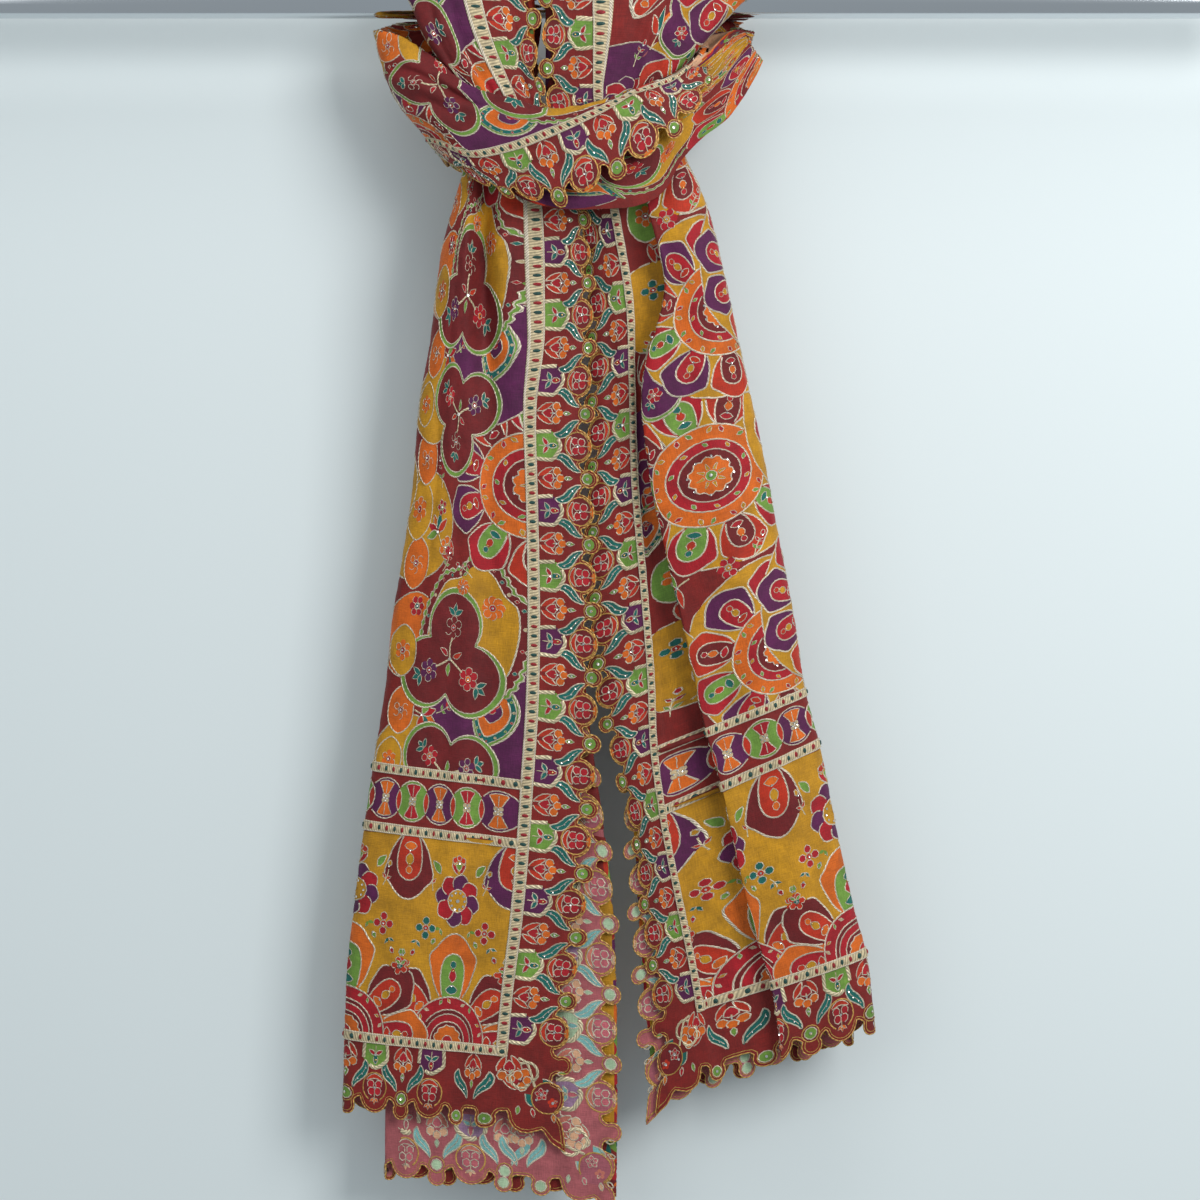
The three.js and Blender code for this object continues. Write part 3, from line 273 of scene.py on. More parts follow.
def loop_row(u, ts):
    """Middle of the loop's cloth across rib number u."""
    q, E, B, O, R, C = rib_at(u)
    lo, hi = rib_at(max(0, u - 0.5)), rib_at(min(len(RIBS) - 1, u + 0.5))
    n = unit(np.cross(R - C, hi[4] + hi[5] - lo[4] - lo[5]))
    g, tO, h = q["g"], q["tO"], q["h"]
    down = unit(R + (C - R) * 0.3 - O)

    def rear(w, k):
        return R + (C - R) * w + n * (k - h * 3 * w * (1 - w))

    M = (B + O) / 2 - n * h
    pts = [
        (0, E, 0),
        (54, B, 0.3),
        ((54 + tO) / 2, M, 0.65),
        (tO - 5, O + down * 5, 1),
        (tO, O - down + n * g * 0.6, 1),
        (tO + 5, O + down * 5 + n * g * 1.3, 1),
        (tO + 18, rear(0.06, g * 1.5), 0.97),
        (290, rear(0.5, g * 1.5 + 0.8), 0.5),
        (LOOP_REAR, rear(1, g * 1.5), 0),
    ]
    c = tight([p[0] for p in pts], np.array([[*p[1], p[2]] for p in pts], float), np.clip(ts, 0, None))
    P, v = c[:, :3], c[:, 3]
    for at, width, depth, a, b in CREASES:
        reach = float(soft(a, a + 1.2, u) * soft(b, b - 1.2, u))
        if reach > 0:
            P = P + n * (depth * reach * np.exp(-(((v - at) / width) ** 2)) * soft(1, 0.92, v))[:, None]
    return P


def loop_lengths():
    """Length along the loop at each rib."""
    out = [0.0]
    for i in range(1, len(RIBS)):
        a, b = rib_at(i - 1), rib_at(i)
        out.append(out[-1] + sum(np.linalg.norm(a[k] - b[k]) for k in (1, 2, 3)) / 3)
    return out


LOOP_KEYS = loop_lengths()
LOOP_LENGTH = LOOP_KEYS[-1]
RIB_STEPS = np.linspace(0, len(RIBS) - 1, 2001)
RIB_LENGTHS = smooth(np.arange(len(RIBS)), np.array(LOOP_KEYS), RIB_STEPS)[:, 0]


def rib_of(s):
    """Rib number at a length along the loop."""
    return float(np.interp(s, RIB_LENGTHS, RIB_STEPS))


# ------------------------------------------------------------ the folded cloth
class Cloth:
    """A stretch of cloth as a fine grid of its middle and normals, over flat distances ts and lengths ss."""

    def __init__(self, ss, ts, P, sign, relief):
        self.s0, self.ds, self.t0, self.dt = ss[0], ss[1] - ss[0], ts[0], ts[1] - ts[0]
        self.shape = P.shape[:2]
        self.sign = sign

        def normals(P):
            return unit(np.cross(np.gradient(P, axis=1), np.gradient(P, axis=0))) * sign

        T, S = np.meshgrid(ts, ss)
        P = P + normals(P) * relief(T, S)[..., None]
        self.P, self.N = P, normals(P)

    def at(self, t, s, h=0.0):
        """Points h above the middle at flat places (t, s), and the normals there."""
        t, s = np.asarray(t, float), np.asarray(s, float)
        a = np.clip((s - self.s0) / self.ds, 0, self.shape[0] - 1.001)
        b = np.clip((t - self.t0) / self.dt, 0, self.shape[1] - 1.001)
        i, j = a.astype(int), b.astype(int)
        fa, fb = (a - i)[..., None], (b - j)[..., None]

        def mix(G):
            low, high = G[i, j] * (1 - fb) + G[i, j + 1] * fb, G[i + 1, j] * (1 - fb) + G[i + 1, j + 1] * fb
            return low * (1 - fa) + high * fa

        N = unit(mix(self.N))
        return mix(self.P) + N * np.asarray(h, float)[..., None], N


def creases(rows):
    """Soft troughs and ridges along the cloth, from rows like those of LEFT_CREASES."""
    def relief(T, S):
        out = np.zeros_like(T)
        for t0, t1, w, d, a, b, k in rows:
            along = (S - a) / (b - a)
            mid = t0 + (t1 - t0) * np.clip(along, 0, 1) + 2.2 * np.sin(S * 0.03 * k + t0)
            reach = soft(-0.02, 0.22, along) * soft(1.02, 0.78, along) * (0.75 + 0.25 * np.sin(S * 0.017 + t1))
            out += 1.35 * d * reach * np.exp(-(((T - mid) / w) ** 2))
        # slight puckering between the lines of stitching
        out += 0.26 * np.sin(T * 0.37 + 1.3 * np.sin(S * 0.11)) * np.sin(S * 0.31 + 1.1 * np.sin(T * 0.13))
        return out
    return relief


# ------------------------------------------------------------ colours
def srgb(code):
    """Linear colour of a hex code."""
    v = np.array([int(code[i:i + 2], 16) for i in (1, 3, 5)]) / 255
    return np.where(v <= 0.04045, v / 12.92, ((v + 0.055) / 1.055) ** 2.4)


FACE = {
    "red": "#741712", "maroon": "#651214", "mustard": "#b37f10", "orange": "#c75d0f", "green": "#668a35", "purple": "#521342",
    "crimson": "#9c0f1c", "flame": "#aa280d", "teal": "#0c5c54", "cream": "#b8a27c", "black": "#241016",
}
PALE = {
    "red": "#a05458", "maroon": "#96505a", "mustard": "#c4ae82", "orange": "#cf9f7c", "green": "#a0b795", "purple": "#8d6d88",
    "crimson": "#b25a62", "flame": "#b86a5a", "teal": "#74a8a4", "cream": "#cdc7b8", "black": "#755a62",
}
NAMES = list(FACE)
FACE_RGB = np.array([srgb(FACE[n]) for n in NAMES])
PALE_RGB = np.array([srgb(PALE[n]) for n in NAMES])
THREADS = {"silver": srgb("#d6c9b2"), "gold": srgb("#c79a4e"), "cream": srgb("#d3c4a0")}


# ------------------------------------------------------------ drawing in the flat, mm
def circle(r, n=14, x=0.0, y=0.0):
    a = np.arange(n) * 2 * math.pi / n
    return np.stack([x + r * np.cos(a), y + r * np.sin(a)], 1)


def lengths(p):
    """Length along a line at each of its points."""
    return np.concatenate([[0], np.cumsum(np.linalg.norm(np.diff(p, axis=0), axis=1))])


def lefts(p):
    """Unit vectors to the left of a line at each of its points."""
    d = unit(np.gradient(p, axis=0))
    return np.stack([-d[:, 1], d[:, 0]], 1)


def curve(points, n=5, closed=True):
    """Round curve through a few points."""
    p = np.array(points, float)
    m = len(p)
    out = []
    for i in range(m if closed else m - 1):
        a, b, c, d = (p[(i + k) % m] if closed else p[min(max(i + k, 0), m - 1)] for k in (-1, 0, 1, 2))
        for t in np.arange(n) / n:
            out.append(0.5 * (2 * b + (c - a) * t + (2 * a - 5 * b + 4 * c - d) * t * t + (3 * b - a - 3 * c + d) * t ** 3))
    if not closed:
        out.append(p[-1])
    return np.array(out)


def leaf(length, width, bend=0.0, n=6):
    """From the origin along +x."""
    u = np.linspace(0, 1, n)
    w = width / 2 * np.sin(math.pi * u ** 0.8)
    mid = bend * np.sin(math.pi * u)
    top = np.stack([u * length, mid + w], 1)
    low = np.stack([u * length, mid - w], 1)[1:-1][::-1]
    return np.concatenate([top, low])


def petal(length, width, n=8):
    """Round-ended petal from the origin along +x."""
    u = np.linspace(0, 1, n)
    w = width / 2 * np.sin(math.pi * u ** 1.55) ** 0.75
    top = np.stack([u * length, w], 1)
    return np.concatenate([top, (top * [1, -1])[1:-1][::-1]])


def lobed(length, width):
    """Broad petal with a stepped, three-lobed end."""
    L, W = length, width / 2
    half = [(.22, .62), (.5, .9), (.68, .98), (.80, .72), (.93, .42)]
    up = [(L * x, W * y) for x, y in half]
    return curve([(0, 0)] + up + [(L, 0)] + [(x, -y) for x, y in up[::-1]], 3)


def bumps(poly, pitch, depth):
    """Scallops round a closed outline."""
    p = np.vstack([poly, poly[:1]])
    at = lengths(p)
    n = max(3, round(at[-1] / pitch))
    u = np.linspace(0, at[-1], n * 6 + 1)[:-1]
    q = np.stack([np.interp(u, at, p[:, 0]), np.interp(u, at, p[:, 1])], 1)
    t = np.roll(q, -1, 0) - np.roll(q, 1, 0)
    nrm = unit(np.stack([t[:, 1], -t[:, 0]], 1))
    if np.sum(p[:-1, 0] * np.roll(p[:-1, 1], -1) - np.roll(p[:-1, 0], -1) * p[:-1, 1]) < 0:
        nrm = -nrm
    return q + nrm * (depth * np.abs(np.sin(np.arange(len(q)) * math.pi / 6)))[:, None]


class Pen:
    """Draws into a piece of art, in a frame of its own. Lines and spots note how many fills came before them."""

    def __init__(self, art, M=np.eye(2), o=(0.0, 0.0)):
        self.art, self.M, self.o = art, M, np.array(o, float)

    def move(self, x, y, deg=0.0, k=1.0, mirror=False):
        a = math.radians(deg)
        R = np.array([[math.cos(a), -math.sin(a)], [math.sin(a), math.cos(a)]]) * k
        if mirror:
            R = R @ np.diag([1, -1])
        return Pen(self.art, self.M @ R, self.M @ np.array([x, y], float) + self.o)

    def on(self, pts):
        return np.atleast_2d(np.asarray(pts, float)) @ self.M.T + self.o

    def fill(self, colour, pts, edge="silver", w=1.05):
        p = self.on(pts)
        self.art["fills"].append((NAMES.index(colour), p))
        if edge:
            self.art["lines"].append((edge, w, np.vstack([p, p[:1]]), True, len(self.art["fills"])))

    def line(self, pts, kind="silver", w=1.05):
        self.art["lines"].append((kind, w, self.on(pts), False, len(self.art["fills"])))

    def disc(self, colour, r, x=0.0, y=0.0, edge="silver", w=1.0, n=12):
        self.fill(colour, circle(r, n, x, y), edge, w)

    def box(self, colour, x0, y0, x1, y1):
        self.fill(colour, [(x0, y0), (x1, y0), (x1, y1), (x0, y1)], None)

    def spot(self, x, y, r=1.25, kind="sequin"):
        p = self.on([(x, y)])[0]
        self.art["spots"].append((kind, p[0], p[1], r, len(self.art["fills"])))


# ---- motifs: origin at their own middle or foot, +x outward
def shield(pen, kind):
    """Shield with a cream edge and a sprig of three leaves."""
    half = [(3.6, 10.6), (9, 11.2), (15.5, 11.4), (17.4, 9.8), (21.6, 3.6)]
    body = curve([(x, -y) for x, y in half] + [(22.6, 0)] + half[::-1], 2, False)
    pen.fill("green" if kind else "purple", body, None)
    pen.line(body, "cream", 2.6)
    pen.line(body, "silver", 0.7)
    bud, side = ("teal", "crimson") if kind else ("crimson", "teal")
    pen.move(12, 0).fill(bud, leaf(8.5, 4.6), w=0.8)
    pen.move(12, 0, 118).fill(side, leaf(7.5, 3.8), w=0.8)
    pen.move(12, 0, -118).fill(side, leaf(7.5, 3.8), w=0.8)
    pen.line([(5, 0), (12, 0)], "cream", 0.8)
    pen.spot(12, 0, 1.1)
    pen.spot(16.5, 0, 0.9, "bead")


def bloom(pen, scale=1.0, petals=("flame", "crimson", "orange")):
    """Two crescents, a red middle and three round petals, on a short stem."""
    p = pen.move(0, 0, 0, scale)
    for m in (False, True):
        q = p.move(0, 0, 0, 1, m)
        q.fill(petals[0], curve([(0, 1.6), (3, 5.6), (7.5, 8.3), (12.4, 8.4), (9.6, 5.4), (6.4, 2.6)], 3), w=0.85)
    p.fill(petals[1], curve([(3.6, 0), (7, 3.2), (10.5, 3.8), (12, 0), (10.5, -3.8), (7, -3.2)], 3), w=0.8)
    for y in (-5.4, 5.4):
        p.disc(petals[2], 3.5, 15.0, y, w=0.85, n=10)
    p.disc(petals[2], 3.3, 17.6, 0, w=0.85, n=10)
    p.line([(10, 0), (14.5, 0)], "cream", 0.7)
    p.spot(12.6, 0, 0.95)


def posy(pen, main="crimson", tip="orange"):
    """Four round petals with a crescent behind and a sprig in front: for the round lobes."""
    for x, y in ((0.4, 3.1), (0.4, -3.1), (5.0, 2.5), (5.0, -2.5)):
        pen.disc(main, 2.75, x, y, w=0.75, n=10)
    crescent = [(-6.2, 0), (-4.6, 4.2), (-1.6, 6.8), (-2.6, 3), (-3.2, 0), (-2.6, -3), (-1.6, -6.8), (-4.6, -4.2)]
    pen.fill("flame", curve(crescent, 2), w=0.75)
    for d in (0, 55, -55):
        pen.move(9.3, 0, d).fill(tip, leaf(4.2, 2.0), w=0.6)
    pen.line([(6, 0), (10.5, 0)], "cream", 0.7)
    pen.spot(2.6, 0, 1.0)


def s_leaf(pen):
    """Teal leaf that curls toward the edge of the cloth."""
    mid = curve([(17.4, 16.2), (22, 17.4), (27.4, 15.2), (31.2, 10.8), (35.6, 7.2), (40.6, 5.4)], 3, False)
    n = lefts(mid)
    w = 3.5 * np.sin(math.pi * np.linspace(0.02, 0.98, len(mid)) ** 0.85)[:, None]
    pen.fill("teal", np.concatenate([mid + n * w, (mid - n * w)[::-1]]), w=0.95)
    pen.line(mid[3:-3], "silver", 0.55)
    for x, y in mid[4:-4:3]:
        pen.spot(x, y + 0.4, 0.8)


def border_unit(pen, number):
    """One shield with its round lobe, at y = 0."""
    shield(pen.move(0.6, 0), number % 2)
    q = pen.move(36.6, 0)
    q.disc("maroon", 11.4, 1.6, 0, "gold", 1.0, 20)
    posy(q.move(-1.2, 0, 0, 1.24))


def border_between(pen):
    """What lies between two shields."""
    bloom(pen.move(4.6, 0))
    pen.move(25.2, 0).fill("green", leaf(7.4, 3.6), w=0.75)
    pen.spot(28.6, 0, 0.9)
    for m in (False, True):
        s_leaf(pen.move(0, 0, 0, 1, m))
    pen.disc("maroon", 6.3, 45.4, 0, "gold", 0.8)
    pen.disc("green", 4.5, 45.4, 0, w=0.8)
    pen.spot(45.4, 0, 1.3)
    pen.spot(46, 0, 0.7, "bead")


def twig(pen, kinds=("green", "crimson"), length=15, leaves=2, bud="crimson"):
    """Cream stem with leaves in pairs and a bud."""
    pen.line(curve([(0, 0), (length * .5, 1.2), (length, 0)], 4, False), "cream", 0.9)
    for i in range(leaves):
        x = length * (0.35 + 0.34 * i)
        for d in (52, -52):
            pen.move(x, 0.6, d).fill(kinds[i % 2], leaf(5.6, 2.7), w=0.65)
    if bud:
        pen.move(length - 0.5, 0).fill(bud, leaf(6.0, 4.0), w=0.75)
    pen.spot(length, 0, 0.9)


def floret(pen, r=4.6, colour="maroon", n=6, core="orange"):
    """Small flower of n round petals."""
    for i in range(n):
        pen.move(0, 0, 360 * i / n).move(r * 0.62, 0).fill(colour, circle(r * 0.36, 8), w=0.65)
    pen.disc(core, r * 0.3, w=0.6, n=8)
    pen.spot(0, 0, 0.9)


def rosette(pen, R, a="purple", b="crimson", core="mustard", n=8):
    """Flower of n petals in two colours, with a ring of sequins."""
    for i in range(n):
        pen.move(0, 0, 360 * i / n + 11).fill((a, b)[i % 2], petal(R, R * 0.72), w=0.9)
    pen.disc(core, R * 0.42, w=0.9)
    for i in range(10):
        pen.move(0, 0, 36 * i).spot(R * 0.31, 0, 1.0)
    pen.spot(0, 0, 1.5)


def tongue(pen, L, W, outer="purple", line="crimson", inner="mustard", bud="flame"):
    """Lobed petal with a long tongue and a small flower in it, foot at the origin."""
    pen.fill(outer, lobed(L, W), w=1.2)
    half = [(L * .08, W * .14), (L * .4, W * .25), (L * .64, W * .2)]
    pen.fill(line, curve([(x, -y) for x, y in half] + [(L * .73, 0)] + half[::-1], 3), w=1.1)
    pen.move(L * .34, 0).fill(inner, leaf(L * .2, W * .17), w=0.7)
    pen.move(L * .24, 0).fill(bud, curve([(0, -W * .13), (L * .07, 0), (0, W * .13), (-L * .06, 0)], 3), w=0.7)
    pen.move(L * .58, 0).disc(bud, W * .07, w=0.6, n=8)
    pen.spot(L * .3, 0, 0.9)
    pen.spot(L * .5, 0, 0.8, "bead")


def medallion(pen, r, ground="maroon", rim="green"):
    """Three joined lobes with a rim, a stem and florets."""
    dirs = (90, 210, 330)
    mids = [(r * 0.72 * math.cos(math.radians(d)), r * 0.72 * math.sin(math.radians(d))) for d in dirs]
    outline = trefoil(r * 0.72, r * 0.74)
    pen.fill(rim, outline * 1.085, "silver", 1.1)
    pen.fill(ground, outline, "silver", 0.9)
    for i, (x, y) in enumerate(mids):
        q = pen.move(x, y, dirs[i])
        colour, core = (("maroon", "crimson"), ("crimson", "orange"), ("purple", "crimson"))[i]
        floret(q.move(-r * 0.02, 0), r * 0.27, colour, 6, core)
        for d in (0, 58, -58):
            q.move(r * 0.26, 0, d).fill("teal", leaf(r * 0.27, r * 0.13), w=0.7)
        pen.line(curve([(0, 0), (x * 0.35 + y * 0.06, y * 0.35), (x * 0.66, y * 0.66)], 4, False), "cream", 1.5)
    for d, c in ((30, "crimson"), (150, "flame"), (270, "green")):
        x, y = r * 0.1 * math.cos(math.radians(d)), r * 0.1 * math.sin(math.radians(d))
        pen.move(x, y, d).fill(c, leaf(r * 0.3, r * 0.13, 1), w=0.7)
    pen.spot(0, 0, 1.3)


def trefoil(dist, rad, n=60):
    """Outer line of three overlapping circles."""
    out = []
    for a in np.arange(n) * 2 * math.pi / n:
        d = np.array([math.cos(a), math.sin(a)])
        best = 0
        for k in (90, 210, 330):
            c = dist * np.array([math.cos(math.radians(k)), math.sin(math.radians(k))])
            b = d @ c
            disc = b * b - c @ c + rad * rad
            if disc > 0:
                best = max(best, b + math.sqrt(disc))
        out.append(d * best)
    return np.array(out)


def cloud(pen, w, h, inner="mustard", band="maroon", rim="green"):
    """Broad cloud with a beaded, scalloped border."""
    body = curve([
        (-w * .5, -h * .1), (-w * .42, -h * .42), (-w * .1, -h * .5), (w * .2, -h * .46), (w * .46, -h * .38), (w * .5, 0),
        (w * .38, h * .3), (w * .16, h * .38), (0, h * .5), (-w * .2, h * .46), (-w * .34, h * .3), (-w * .46, h * .2),
    ], 4)
    pen.fill(rim, bumps(body, 8.5, 2.6), w=1.1)
    pen.fill(band, bumps(body * 0.955, 8.2, 2.2), w=0.8)
    pen.fill(inner, body * 0.86, w=1.0)
    k = body[::2] * 0.925
    for i, (x, y) in enumerate(k):
        pen.disc(("crimson", "teal", "cream")[i % 3], 1.7, x, y, w=0.5, n=7)


def paisley(pen, L, dark="teal", body="orange", heart="purple"):
    """Curled drop: dotted band, plain body, small heart."""
    drop = curve([
        (0, 0), (L * .2, L * .24), (L * .5, L * .3), (L * .78, L * .16), (L * .9, -L * .08),
        (L * 1.02, -L * .34), (L * .84, -L * .2), (L * .62, -L * .24), (L * .3, -L * .22), (L * .08, -L * .12),
    ], 4)
    pen.fill("green", drop, w=1.2)
    c = np.array([L * .46, L * .02])
    pen.fill(dark, (drop - c) * 0.9 + c, w=0.7)
    k = ((drop - c) * 0.82 + c)[::2]
    for i, (x, y) in enumerate(k):
        pen.disc(("crimson", "cream", "green")[i % 3], 1.25, x, y, w=0.45, n=6)
    pen.fill(body, (drop - c) * 0.7 + c, w=1.0)
    q = pen.move(c[0] - L * .02, c[1])
    middle = [(-L * .13, 0), (0, L * .12), (L * .14, L * .06), (L * .12, -L * .06), (0, -L * .12)]
    q.fill(heart, curve(middle, 3), w=0.8)
    q.disc("crimson", L * .05, L * .03, 0, w=0.6, n=8)
    for d in (0, 60, -60):
        q.move(L * .06, 0, d).fill("flame", leaf(L * .1, L * .05), w=0.5)


def oval(pen, L, W, ground="mustard"):
    """Oval with a floret."""
    body = [
        (-L / 2, 0), (-L * .3, W * .4), (0, W / 2), (L * .3, W * .4), (L / 2, 0), (L * .3, -W * .4), (0, -W / 2), (-L * .3, -W * .4),
    ]
    pen.fill(ground, curve(body, 3), w=1.1)
    floret(pen, min(L, W) * 0.3, "orange", 6, "crimson")


def spray(pen, r=13):
    """Five leaves fanned from a foot."""
    for d, c in ((0, "orange"), (38, "teal"), (-38, "crimson"), (78, "flame"), (-78, "green")):
        pen.move(0, 0, d).fill(c, leaf(r, r * 0.42), "silver", 0.95)
    pen.line([(-r * 0.7, 0), (0, 0)], "cream", 1.2)
    pen.spot(0, 0, 1.1)


def corner_art(pen):
    """The square where side and end borders meet, +x and +y out of the cloth, origin where the braids cross."""
    for x, y, d in ((4, 20, 8), (20, 4, 82)):
        pen.line(curve([(x * .3 + 3, y * .3 + 3), (x * .7 + 5, y * .7 + 5), (26, 26)], 4, False), "cream", 1.7)
        bloom(pen.move(x * 0.2 + 1, y - 1, d, 1.05))
        q = pen.move(x * 1.3 + (14 if x < y else 6), y * 1.3 + (6 if x < y else 14), d + (26 if x < y else -26))
        q.fill("teal", leaf(17, 7.5, 1.6 if x < y else -1.6), w=0.9)
        q.line([(3, 0.6), (14, 0.6)], "silver", 0.55)
    pen.line(curve([(14, 9), (20, 7), (26, 10), (28, 17), (24, 22)], 4, False), "cream", 1.9)
    pen.line(curve([(9, 14), (7, 20), (10, 26), (17, 28), (22, 24)], 4, False), "cream", 1.9)
    pen.disc("maroon", 12.5, 36.5, 34, "gold", 1.0, 20)
    for x, y, k in ((31.5, 31.5, 1.0), (40.5, 37.5, 0.8)):
        for i in range(5):
            pen.move(x, y, 45 + 72 * i).move(3.1 * k, 0).fill("crimson" if k == 1.0 else "flame", circle(2.0 * k, 9), w=0.6)
        pen.spot(x, y, 1.2)
    for x, y, d, c in (
        (46, 43, 45, "orange"), (50, 49, 45, "flame"), (41, 46, 80, "orange"), (47, 38, 10, "orange"),
        (15, 42, 95, "green"), (43, 14, -5, "green"), (25, 43, 75, "crimson"), (44, 25, 15, "crimson"),
    ):
        pen.move(x, y, d).fill(c, leaf(7.4, 3.6), w=0.75)
    pen.spot(36, 28, 1)
    pen.spot(28, 36, 1)


def side_border(pen, s0, s1, edge_at_zero=True):
    """Shields, flowers and leaves along a long edge."""
    k = 0
    s = SHIELD_0
    first = FLOWER_0
    base = SIDE_BRAID if edge_at_zero else WIDTH - SIDE_BRAID
    turn = 180 if edge_at_zero else 0
    while first < s1 + 30:
        if s0 - 14 < first and first > 70:
            border_between(pen.move(base, first, turn))
        if s0 - 14 < s < s1 + 14:
            border_unit(pen.move(base, s, turn), k)
        first += PITCH
        s += PITCH
        k += 1


def end_border(pen, lo, hi):
    """Shields, flowers and leaves along the end, and the corners."""
    for i in range(11):
        for t, odd in ((HEM_0 + HEM_PITCH * i, False), (HEM_0 + HEM_PITCH * (i + 0.5), True)):
            if t > 700 or not lo < t < hi:
                continue
            q = pen.move(t, HEM_BRAID, -90)
            if odd:
                border_between(q)
            else:
                border_unit(q, i)
    for t in (75.5, WIDTH - 75.5):
        if lo < t < hi:
            q = pen.move(t, HEM_BRAID, -90)
            bloom(q.move(4.6, 0))
            pen.move(t, HEM_BRAID - 25, -90).fill("green", leaf(7, 3.6), w=0.75)
            for m in (False, True):
                s_leaf(q.move(0, 0, 0, 1, m).move(0, -1.5))
    for t in (61, 90, WIDTH - 61, WIDTH - 90):
        if lo < t < hi:
            pen.disc("green", 4.5, t, HEM_BRAID - 54.4, w=0.8)
            pen.spot(t, HEM_BRAID - 54.4, 1.2)
    if lo < 30:
        corner_art(pen.move(SIDE_BRAID, HEM_BRAID, 180))
    if hi > 730:
        corner_art(pen.move(WIDTH - SIDE_BRAID, HEM_BRAID, -90))


def wheel_band(pen, lo, hi):
    """Interlocking rings between the two cross braids."""
    y = (PANELS[0] + PANELS[1]) / 2
    step, r = 27.2, 16.2
    n = int((hi - lo) / step) + 1
    xs = [71 + step * i for i in range(n) if lo < 71 + step * i < hi]
    for i, x in enumerate(xs):
        pen.disc("green" if i % 2 else "purple", r, x, y, w=1.0, n=24)
    half = [(1.5, 1.6), (7, 4.2), (12.6, 7.6), (13.6, 3.4)]
    a = np.linspace(-1, 1, 9)
    right, left = (np.stack([z * (1 - a * a), a * 8.8], 1) for z in (2.6, -2.6))
    lens = np.concatenate([right, left[1:-1][::-1]])
    for i, x in enumerate(xs):
        q = pen.move(x, y)
        c = "crimson" if i % 2 else "orange"
        for d in (90, -90):
            q.move(0, 0, d).fill(c, [(x, -y) for x, y in half] + [(14, 0)] + half[::-1], w=0.8)
            q.move(0, 0, d).line([(4, 0), (12.5, 0)], "silver", 0.6)
        q.move(step / 2, 0).fill("flame", lens, w=0.8)
        for d in (45, 135, 225, 315):
            q.move(0, 0, d).fill("cream", petal(4.6, 3.8), w=0.55)
        for d in (0, 90, 180, 270):
            q.move(0, 0, d).spot(2.0, 0, 0.85)


def end_panel(pen, lo, hi):
    """Mustard end panel with half wheels on the hem braid."""
    y0, y1 = HEM_BRAID + 4, PANELS[0] - 4
    pen.box("mustard", lo, y0 - 4, hi, y1 + 4)
    for i in range(-1, 4):
        x = 103 + 94 * i
        if not lo - 60 < x < hi + 60:
            continue
        q = pen.move(x, y0)
        dark, bright = ("maroon", "flame", "mustard", "orange"), ("orange", "crimson", "mustard", "flame")
        for d, cs in ((90, ("orange", "green", "crimson", "teal")), (42, dark), (138, dark), (2, bright), (178, bright)):
            tongue(q.move(0, 0, d).move(26, 0), 60 if d == 90 else 50, 46 if d == 90 else 40, *cs)
        q.disc("crimson", 35, w=1.2, n=40)
        for k in range(9):
            c = ("green", "mustard", "cream")[k % 3]
            q.move(0, 0, 10 + 20 * k).move(30, 0, 50 if k % 2 else -40).fill(c, leaf(5, 2.6), w=0.55)
        q.disc("maroon", 25, w=1.0, n=30)
        q.disc("crimson", 21.5, w=0.9, n=28)
        q.disc("maroon", 15.5, w=0.9, n=24)
        q.fill("orange", bumps(circle(11, 24), 6.4, 2.0), w=0.9)
        q.disc("crimson", 4.6, w=0.7)
        q = pen.move(x, y0 + 112)
        rosette(q, 22)
        bloom(q.move(0, 21, 90, 0.74), 1, ("crimson", "green", "flame"))
        for m in (1, -1):
            q.move(m * 17, 20, 90 - m * 40).fill("green", leaf(13, 6.2, m), w=0.8)
            twig(q.move(m * 12, -19, -90 + m * 30), ("green", "mustard"), 15, 1, "green")
            floret(q.move(m * 28, -24), 9.2, "teal" if m > 0 else "crimson", 4, "flame")
            twig(q.move(m * 33, -31, -70 if m > 0 else -110), ("teal", "flame"), 12, 1, "crimson")
            outer = "maroon" if (i + (m > 0)) % 2 else "purple"
            tongue(pen.move(x + m * 47, y1 + 6, -90), 56, 46, outer, "flame", "mustard", "orange")
            twig(q.move(m * 24, 6, 75 if m > 0 else 105), ("flame", "green"), 16, 1, "mustard")
            floret(pen.move(x + m * 46, y0 + 56), 7.6, "flame", 5, "teal")
            twig(pen.move(x + m * 46, y0 + 53, 90), ("green", "crimson"), 12, 1, "green")


def field(pen, table, lo, hi, y0, y1):
    """One repeat of the field, its foot at y0, between lo and hi across and up to y1."""
    for name, x, y, deg, k, args in table:
        y = y0 + y
        if lo - 45 < x < hi + 45 and y0 - 30 < y < y1 + 60:
            MOTIFS[name](pen.move(x, y, deg), k, *args)


FLAME_TIP, CRIMSON_TIP = ("flame", "maroon", "orange", "crimson"), ("crimson", "green", "flame", "teal")


